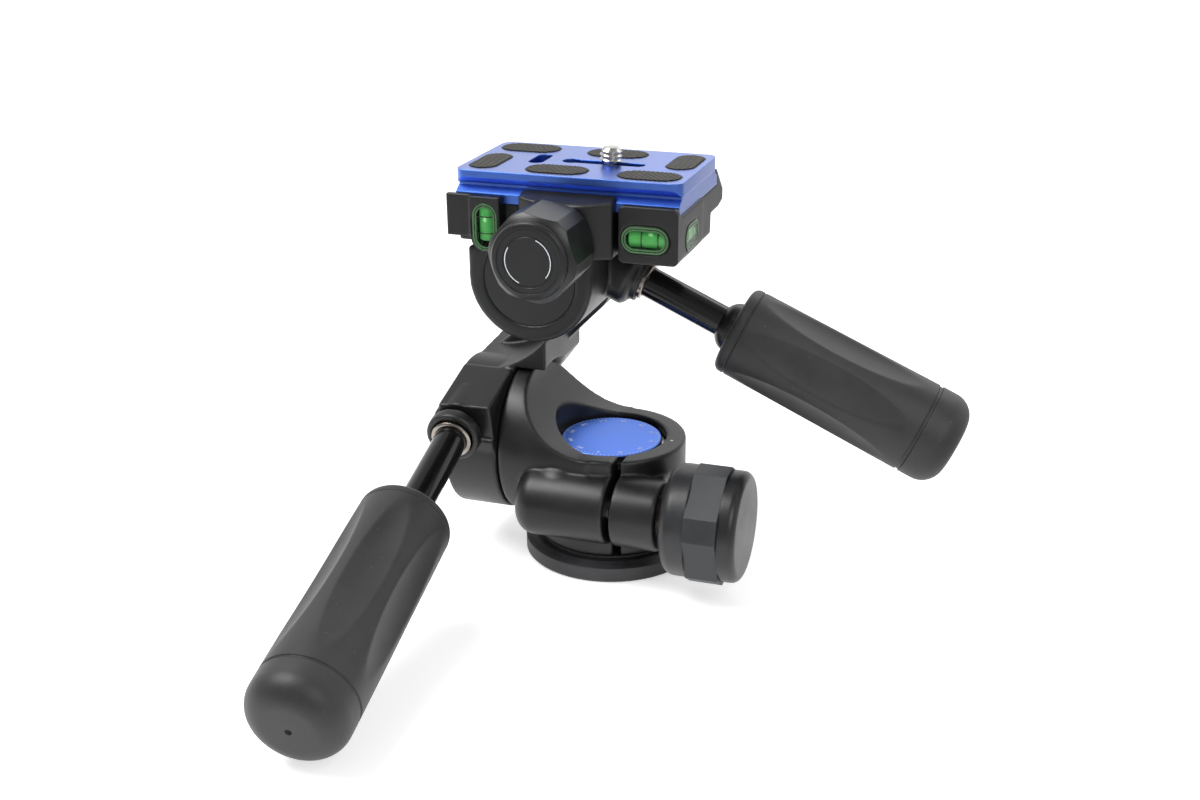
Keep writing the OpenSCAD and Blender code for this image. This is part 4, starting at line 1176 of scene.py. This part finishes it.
@dataclass
class SideBody(SubAssembly):
    """The barrel of the side joint, the clamp body and the three levels.

    Args:
        bolts_at: Where the undersides of the two bolt heads go.
        levels: The spirit levels.
    """

    body: str = "roll"
    bolts_at: tuple[tuple[float, float, float], ...] = ((-25.2, 6, 103.9), (-9.2, 6, 103.9))
    levels: list[Level] = field(default_factory=lambda: [
        Level("front", (17, -23.2, 102), 0, 0, vial_at=0.4, vial_l=10.2, vial_r=2.55, axis_z=-2.85),
        Level("pod", (-28.3, -23.2, 102), 90, 0, length=13.6, vial_at=0.8, vial_l=9.4, line_at=0.5, bubble_at=2.0,
              vial_r=2.35, axis_z=-2.6),
        Level("side", (26, -8.8, 100.6), 0, 90, vial_at=-0.4, vial_l=9.6, line_at=-1.0, bubble_at=-1.0, vial_r=2.55,
              axis_z=-2.8)])

    def build(self) -> None:
        """Makes and dresses the pieces."""
        self.cast("side_body", CAST_BLACK, Slot.CAST)
        self.cast("clamp_body", CAST_BLACK, Slot.CAST, 0.4, 6)
        self.dress(STEEL, "roll_retainer", "jaw_pins")
        self.dress(KNOB_SATIN, "barrel_cap")
        self.bolts()
        for level in self.levels:
            stem = level.name
            self.add(link_mesh(stem + "_cup", level.cup()), DEEP_GREEN, Slot.FRAME, stem + "_level")
            self.add(link_mesh(stem + "_rims", level.rims()), PAINTED_RIM_HIGHLIGHT, Slot.FRAME)
            self.add(link_mesh(stem + "_liquid", level.vial()), VIAL_GREEN, Slot.VIAL, stem + "_vial")
            self.add(link_mesh(stem + "_lines", level.lines()), DARK_LINE, Slot.VIAL)
            self.add(link_mesh(stem + "_bubble", level.bubble()), BUBBLE, Slot.VIAL)
            self.add(link_mesh(stem + "_window", level.window()), CLEAR, Slot.FRAME)

    def bolts(self) -> None:
        """Makes the two bolts under the plate."""
        bm = bmesh.new()
        for spot in self.bolts_at:
            merge_into(bm, socket_screw(4.3, 3.6, 1.9, 2.0, 16.0), at(*spot))
        self.add(link_mesh("clamp_bolt_heads", bm), STEEL, Slot.STEEL, "clamp_bolts")


@dataclass
class Jaw(SubAssembly):
    """The sliding jaw."""

    body: str = "jaw"

    def build(self) -> None:
        """Makes and dresses the pieces."""
        self.cast("jaw", CAST_BLACK, Slot.CAST, 0.3, 8)


@dataclass
class ClampKnob(SubAssembly):
    """The knob that closes the jaw.

    Args:
        axis: Place of its axis from left to right and in height.
        face_y: Front of the knob's face disc.
        ring_r: Middle radius of the thin printed arcs.
        ring_w: Width of the arcs.
        spans: First and last angle of each arc, in degrees.
    """

    body: str = "clamp_knob"
    axis: Pair = (-7.5, 100.2)
    face_y: float = -45.2
    ring_r: float = 6.25
    ring_w: float = 0.22
    spans: tuple[Pair, ...] = ((-38.0, 68.0), (147.0, 247.0))

    def build(self) -> None:
        """Makes and dresses the pieces."""
        self.dress(STEEL, "clamp_screw")
        self.dress(KNOB_SATIN, "clamp_knob", "clamp_knob_cap")
        self.add(self.arcs(), WHITE_PRINT, Slot.BRIGHT)

    def arcs(self) -> bpy.types.Object:
        """Makes the two thin printed arcs on the face."""
        bm = bmesh.new()
        (x, z), half, steps = self.axis, self.ring_w / 2, 30
        for first, last in self.spans:
            outline = []
            for radius, start, stop in ((self.ring_r + half, first, last), (self.ring_r - half, last, first)):
                for k in range(steps + 1):
                    angle = math.radians(start + (stop - start) * k / steps)
                    outline.append((radius * math.cos(angle), radius * math.sin(angle)))
            merge_into(bm, prism(outline, -0.02, 0.03), at(x, self.face_y, z) @ turned(90, "X"))
        return link_mesh("knob_arcs", bm)


@dataclass
class Plate(SubAssembly):
    """The quick release plate with its six pads."""

    body: str = "plate"

    def build(self) -> None:
        """Makes and dresses the pieces."""
        self.dress(BLUE_PLATE, "plate")
        self.dress(PAD_RUBBER, *[f"pad_{k}" for k in range(1, 7)])


@dataclass
class CameraScrew(SubAssembly):
    """The screw that holds the camera.

    Args:
        x: Place from left to right.
        y: Place from front to back.
        foot: Underside of its head.
        shoulder: Top of its head.
        start: Where its thread starts, above the plain neck.
        tip: Top of its thread.
        crest: Radius of its thread.
        neck_r: Radius of its neck.
        pitch: Rise of its thread in one turn.
        ridge: Height of the thread's ridge.
    """

    body: str = "camera_screw"
    x: float = 0.4
    y: float = -0.8
    foot: float = 108.6
    shoulder: float = 111.2
    start: float = 116.9
    tip: float = 121.3
    crest: float = 3.1
    neck_r: float = 1.9
    pitch: float = 1.27
    ridge: float = 0.58

    def build(self) -> None:
        """Makes and dresses the pieces."""
        root = self.crest - 0.55
        core = lathe([(0, self.foot), (4.6, self.foot), (5.2, self.foot + 0.5), (5.2, self.shoulder),
                      (self.neck_r, self.shoulder), (self.neck_r, self.start), (root, self.start + 0.3),
                      (root, self.tip - 0.6), (root - 0.5, self.tip), (0, self.tip)])
        core = placed(core, at(self.x, self.y, 0))
        self.add(link_mesh("camera_screw_core", core), STEEL, Slot.STEEL, "camera_screw")
        rise = self.tip - self.start - 1.4
        thread = THREAD.grow("camera_screw_thread", {
            "Turns": rise / self.pitch, "Radius": (self.crest - self.ridge) * MM, "Rise": rise * MM,
            "Ridge": self.ridge * MM, "Steps": 48, "Material": STEEL.material()},
            at(self.x, self.y, self.start + 0.65))
        self.add(thread, STEEL, Slot.STEEL)


@dataclass
class ScrewClip(SubAssembly):
    """The clip that keeps the camera screw in its slot."""

    body: str = "screw_slide"

    def build(self) -> None:
        """Makes and dresses the pieces."""
        self.dress(STEEL, "screw_clip")


# Light, floor and camera


@dataclass(frozen=True)
class Lamp:
    """A soft lamp that faces the head.

    Args:
        name: Name of the lamp.
        place: Where it hangs, in metres.
        size: Its width and height, in metres.
        watts: Its power.
    """

    name: str
    place: tuple[float, float, float]
    size: Pair
    watts: float


@dataclass
class Studio:
    """A pale floor, soft lights and the camera.

    Args:
        focal: Focal length in millimetres, for a picture 36 mm wide.
        yaw: Turn of the view to the right, in radians.
        pitch: Height of the view above the level, in radians.
        roll: Lean of the view, in radians.
        distance: Distance of the camera from the point it looks at, in millimetres.
        aim_x: Sideways place of that point, in millimetres.
        aim_z: Height of that point, in millimetres.
        room: How bright the room in front is in reflections.
        lamp_aim: Height that the lamps face, in metres.
        lamps: The lamps.
    """

    focal: float = 45.4167
    yaw: float = 0.3265
    pitch: float = 0.374
    roll: float = -0.006
    distance: float = 442.69
    aim_x: float = -3.318
    aim_z: float = 46.488
    room: float = 0.42
    lamp_aim: float = 0.06
    lamps: tuple[Lamp, ...] = (Lamp("key", (-0.42, -0.28, 0.84), (0.5, 0.5), 8.0),
                               Lamp("fill", (0.60, -0.55, 0.60), (0.5, 0.5), 2.5),
                               Lamp("back", (0.15, 0.75, 0.75), (0.9, 0.35), 2.0))

    def build(self) -> None:
        """Sets up the whole studio."""
        self.camera()
        self.world()
        self.floor()
        for lamp in self.lamps:
            self.hang(lamp)

    def camera(self) -> None:
        """Stands the camera where the photograph was taken from."""
        back = Vector((math.sin(self.yaw) * math.cos(self.pitch), -math.cos(self.yaw) * math.cos(self.pitch),
                       math.sin(self.pitch)))
        right = Vector((math.cos(self.yaw), math.sin(self.yaw), 0))
        up = back.cross(right)
        lean_right = math.cos(self.roll) * right + math.sin(self.roll) * up
        lean_up = -math.sin(self.roll) * right + math.cos(self.roll) * up
        aim = (right * self.aim_x + Vector((0, 0, self.aim_z))) * MM
        data = bpy.data.cameras.new("camera")
        data.lens = self.focal
        data.sensor_width = 36
        data.clip_start = 0.01
        data.clip_end = 20
        camera = bpy.data.objects.new("camera", data)
        bpy.context.scene.collection.objects.link(camera)
        turn = Matrix((lean_right, lean_up, back)).transposed().to_4x4()
        camera.matrix_world = Matrix.Translation(aim + back * self.distance * MM) @ turn
        bpy.context.scene.camera = camera

    def hang(self, lamp: Lamp) -> None:
        """Hangs a lamp and turns it to the head."""
        data = bpy.data.lights.new(lamp.name, "AREA")
        data.shape = "RECTANGLE"
        data.size, data.size_y = lamp.size
        data.energy = lamp.watts
        hung = bpy.data.objects.new(lamp.name, data)
        bpy.context.scene.collection.objects.link(hung)
        aim = Vector((0, 0, self.lamp_aim)) - Vector(lamp.place)
        hung.location = lamp.place
        hung.rotation_euler = aim.to_track_quat("-Z", "Y").to_euler()

    def world(self) -> None:
        """Makes a soft sky: plain white to the camera, and a pale wall behind a dim room in reflections."""
        world = bpy.data.worlds.new("soft_sky")
        world.use_nodes = True
        tree = world.node_tree
        sky = tree.nodes["Background"]
        sky.inputs["Color"].default_value = (1, 1, 1, 1)
        ray = tree.nodes.new("ShaderNodeLightPath").outputs
        facing = parts_of(tree, tree.nodes.new("ShaderNodeTexCoord").outputs["Generated"])
        wall = soft_step(tree, facing["Y"], (-0.30, 0.35), (self.room, 1.0))
        roof = soft_step(tree, facing["Z"], (0.35, 0.80), (1.0, 0.50))
        mirrored = maths(tree, "MAXIMUM", ray["Is Glossy Ray"], ray["Is Transmission Ray"])
        room = maths(tree, "MULTIPLY", maths(tree, "MULTIPLY", wall, roof), mirrored)
        soft = soft_step(tree, ray["Is Diffuse Ray"], (0.0, 1.0), (0.0, 0.5))
        lit = maths(tree, "MAXIMUM", maths(tree, "MAXIMUM", room, soft), ray["Is Camera Ray"])
        tree.links.new(lit, sky.inputs["Strength"])
        world.cycles.sampling_method = "NONE"
        bpy.context.scene.world = world

    def floor(self) -> None:
        """Lays a pale floor that keeps a soft shadow and is dimmer in front and on the right in reflections."""
        bm = bmesh.new()
        bmesh.ops.create_grid(bm, x_segments=2, y_segments=2, size=6.0)
        bmesh.ops.translate(bm, verts=bm.verts, vec=(0, 0, -0.0002))
        floor = link_mesh("floor", bm)
        made = bpy.data.materials.new("pale_floor")
        made.use_nodes = True
        tree = made.node_tree
        shader = tree.nodes["Principled BSDF"]
        shader.inputs["Roughness"].default_value = 0.9
        shader.inputs["Specular IOR Level"].default_value = 0.1
        shader.inputs["Emission Color"].default_value = (1, 1, 1, 1)
        coords = tree.nodes.new("ShaderNodeTexCoord")
        noise = tree.nodes.new("ShaderNodeTexNoise")
        noise.inputs["Scale"].default_value = 60
        ramp = tree.nodes.new("ShaderNodeValToRGB")
        ramp.color_ramp.elements[0].color = (0.80, 0.80, 0.80, 1)
        ramp.color_ramp.elements[1].color = (0.84, 0.84, 0.84, 1)
        tree.links.new(coords.outputs["Object"], noise.inputs["Vector"])
        tree.links.new(noise.outputs["Fac"], ramp.inputs["Fac"])
        ray = tree.nodes.new("ShaderNodeLightPath").outputs
        spot = parts_of(tree, coords.outputs["Object"])
        front = soft_step(tree, spot["Y"], (-0.26, -0.12), (1.0, 0.0))
        right = soft_step(tree, spot["X"], (0.05, 0.16), (0.0, 1.0))
        away = maths(tree, "MAXIMUM", front, right)
        dim = maths(tree, "MULTIPLY", away, ray["Is Glossy Ray"])
        tree.links.new(blend(tree, dim, ramp.outputs["Color"], (0.48, 0.48, 0.48)), shader.inputs["Base Color"])
        plain = soft_step(tree, ray["Is Camera Ray"], (0.0, 1.0), (0.0, 0.55))
        mirrored = maths(tree, "MAXIMUM", ray["Is Glossy Ray"], ray["Is Transmission Ray"])
        faint = maths(tree, "MULTIPLY", mirrored, soft_step(tree, away, (0.0, 1.0), (0.5, 0.05)))
        tree.links.new(maths(tree, "MAXIMUM", plain, faint), shader.inputs["Emission Strength"])
        floor.data.materials.append(made)


def main() -> None:
    """Builds the sub-assemblies in order, then the studio."""
    logging.basicConfig(level=logging.INFO, format="%(name)s: %(message)s")
    builders: list[Callable[[], None]] = [
        PanBase().build, PanHousing().build, PanKnob().build, Elbow().build,
        Handle().build, Handle("side_handle", HandleKind.SIDE, SIDE_BOSS, 4.44, 28.7, 59.0).build,
        SideBody().build, Jaw().build, ClampKnob().build, Plate().build, CameraScrew().build, ScrewClip().build,
        Studio().build]
    for build in builders:
        build()
    bpy.context.scene.view_settings.view_transform = "Standard"


if __name__ == "__main__":
    main()
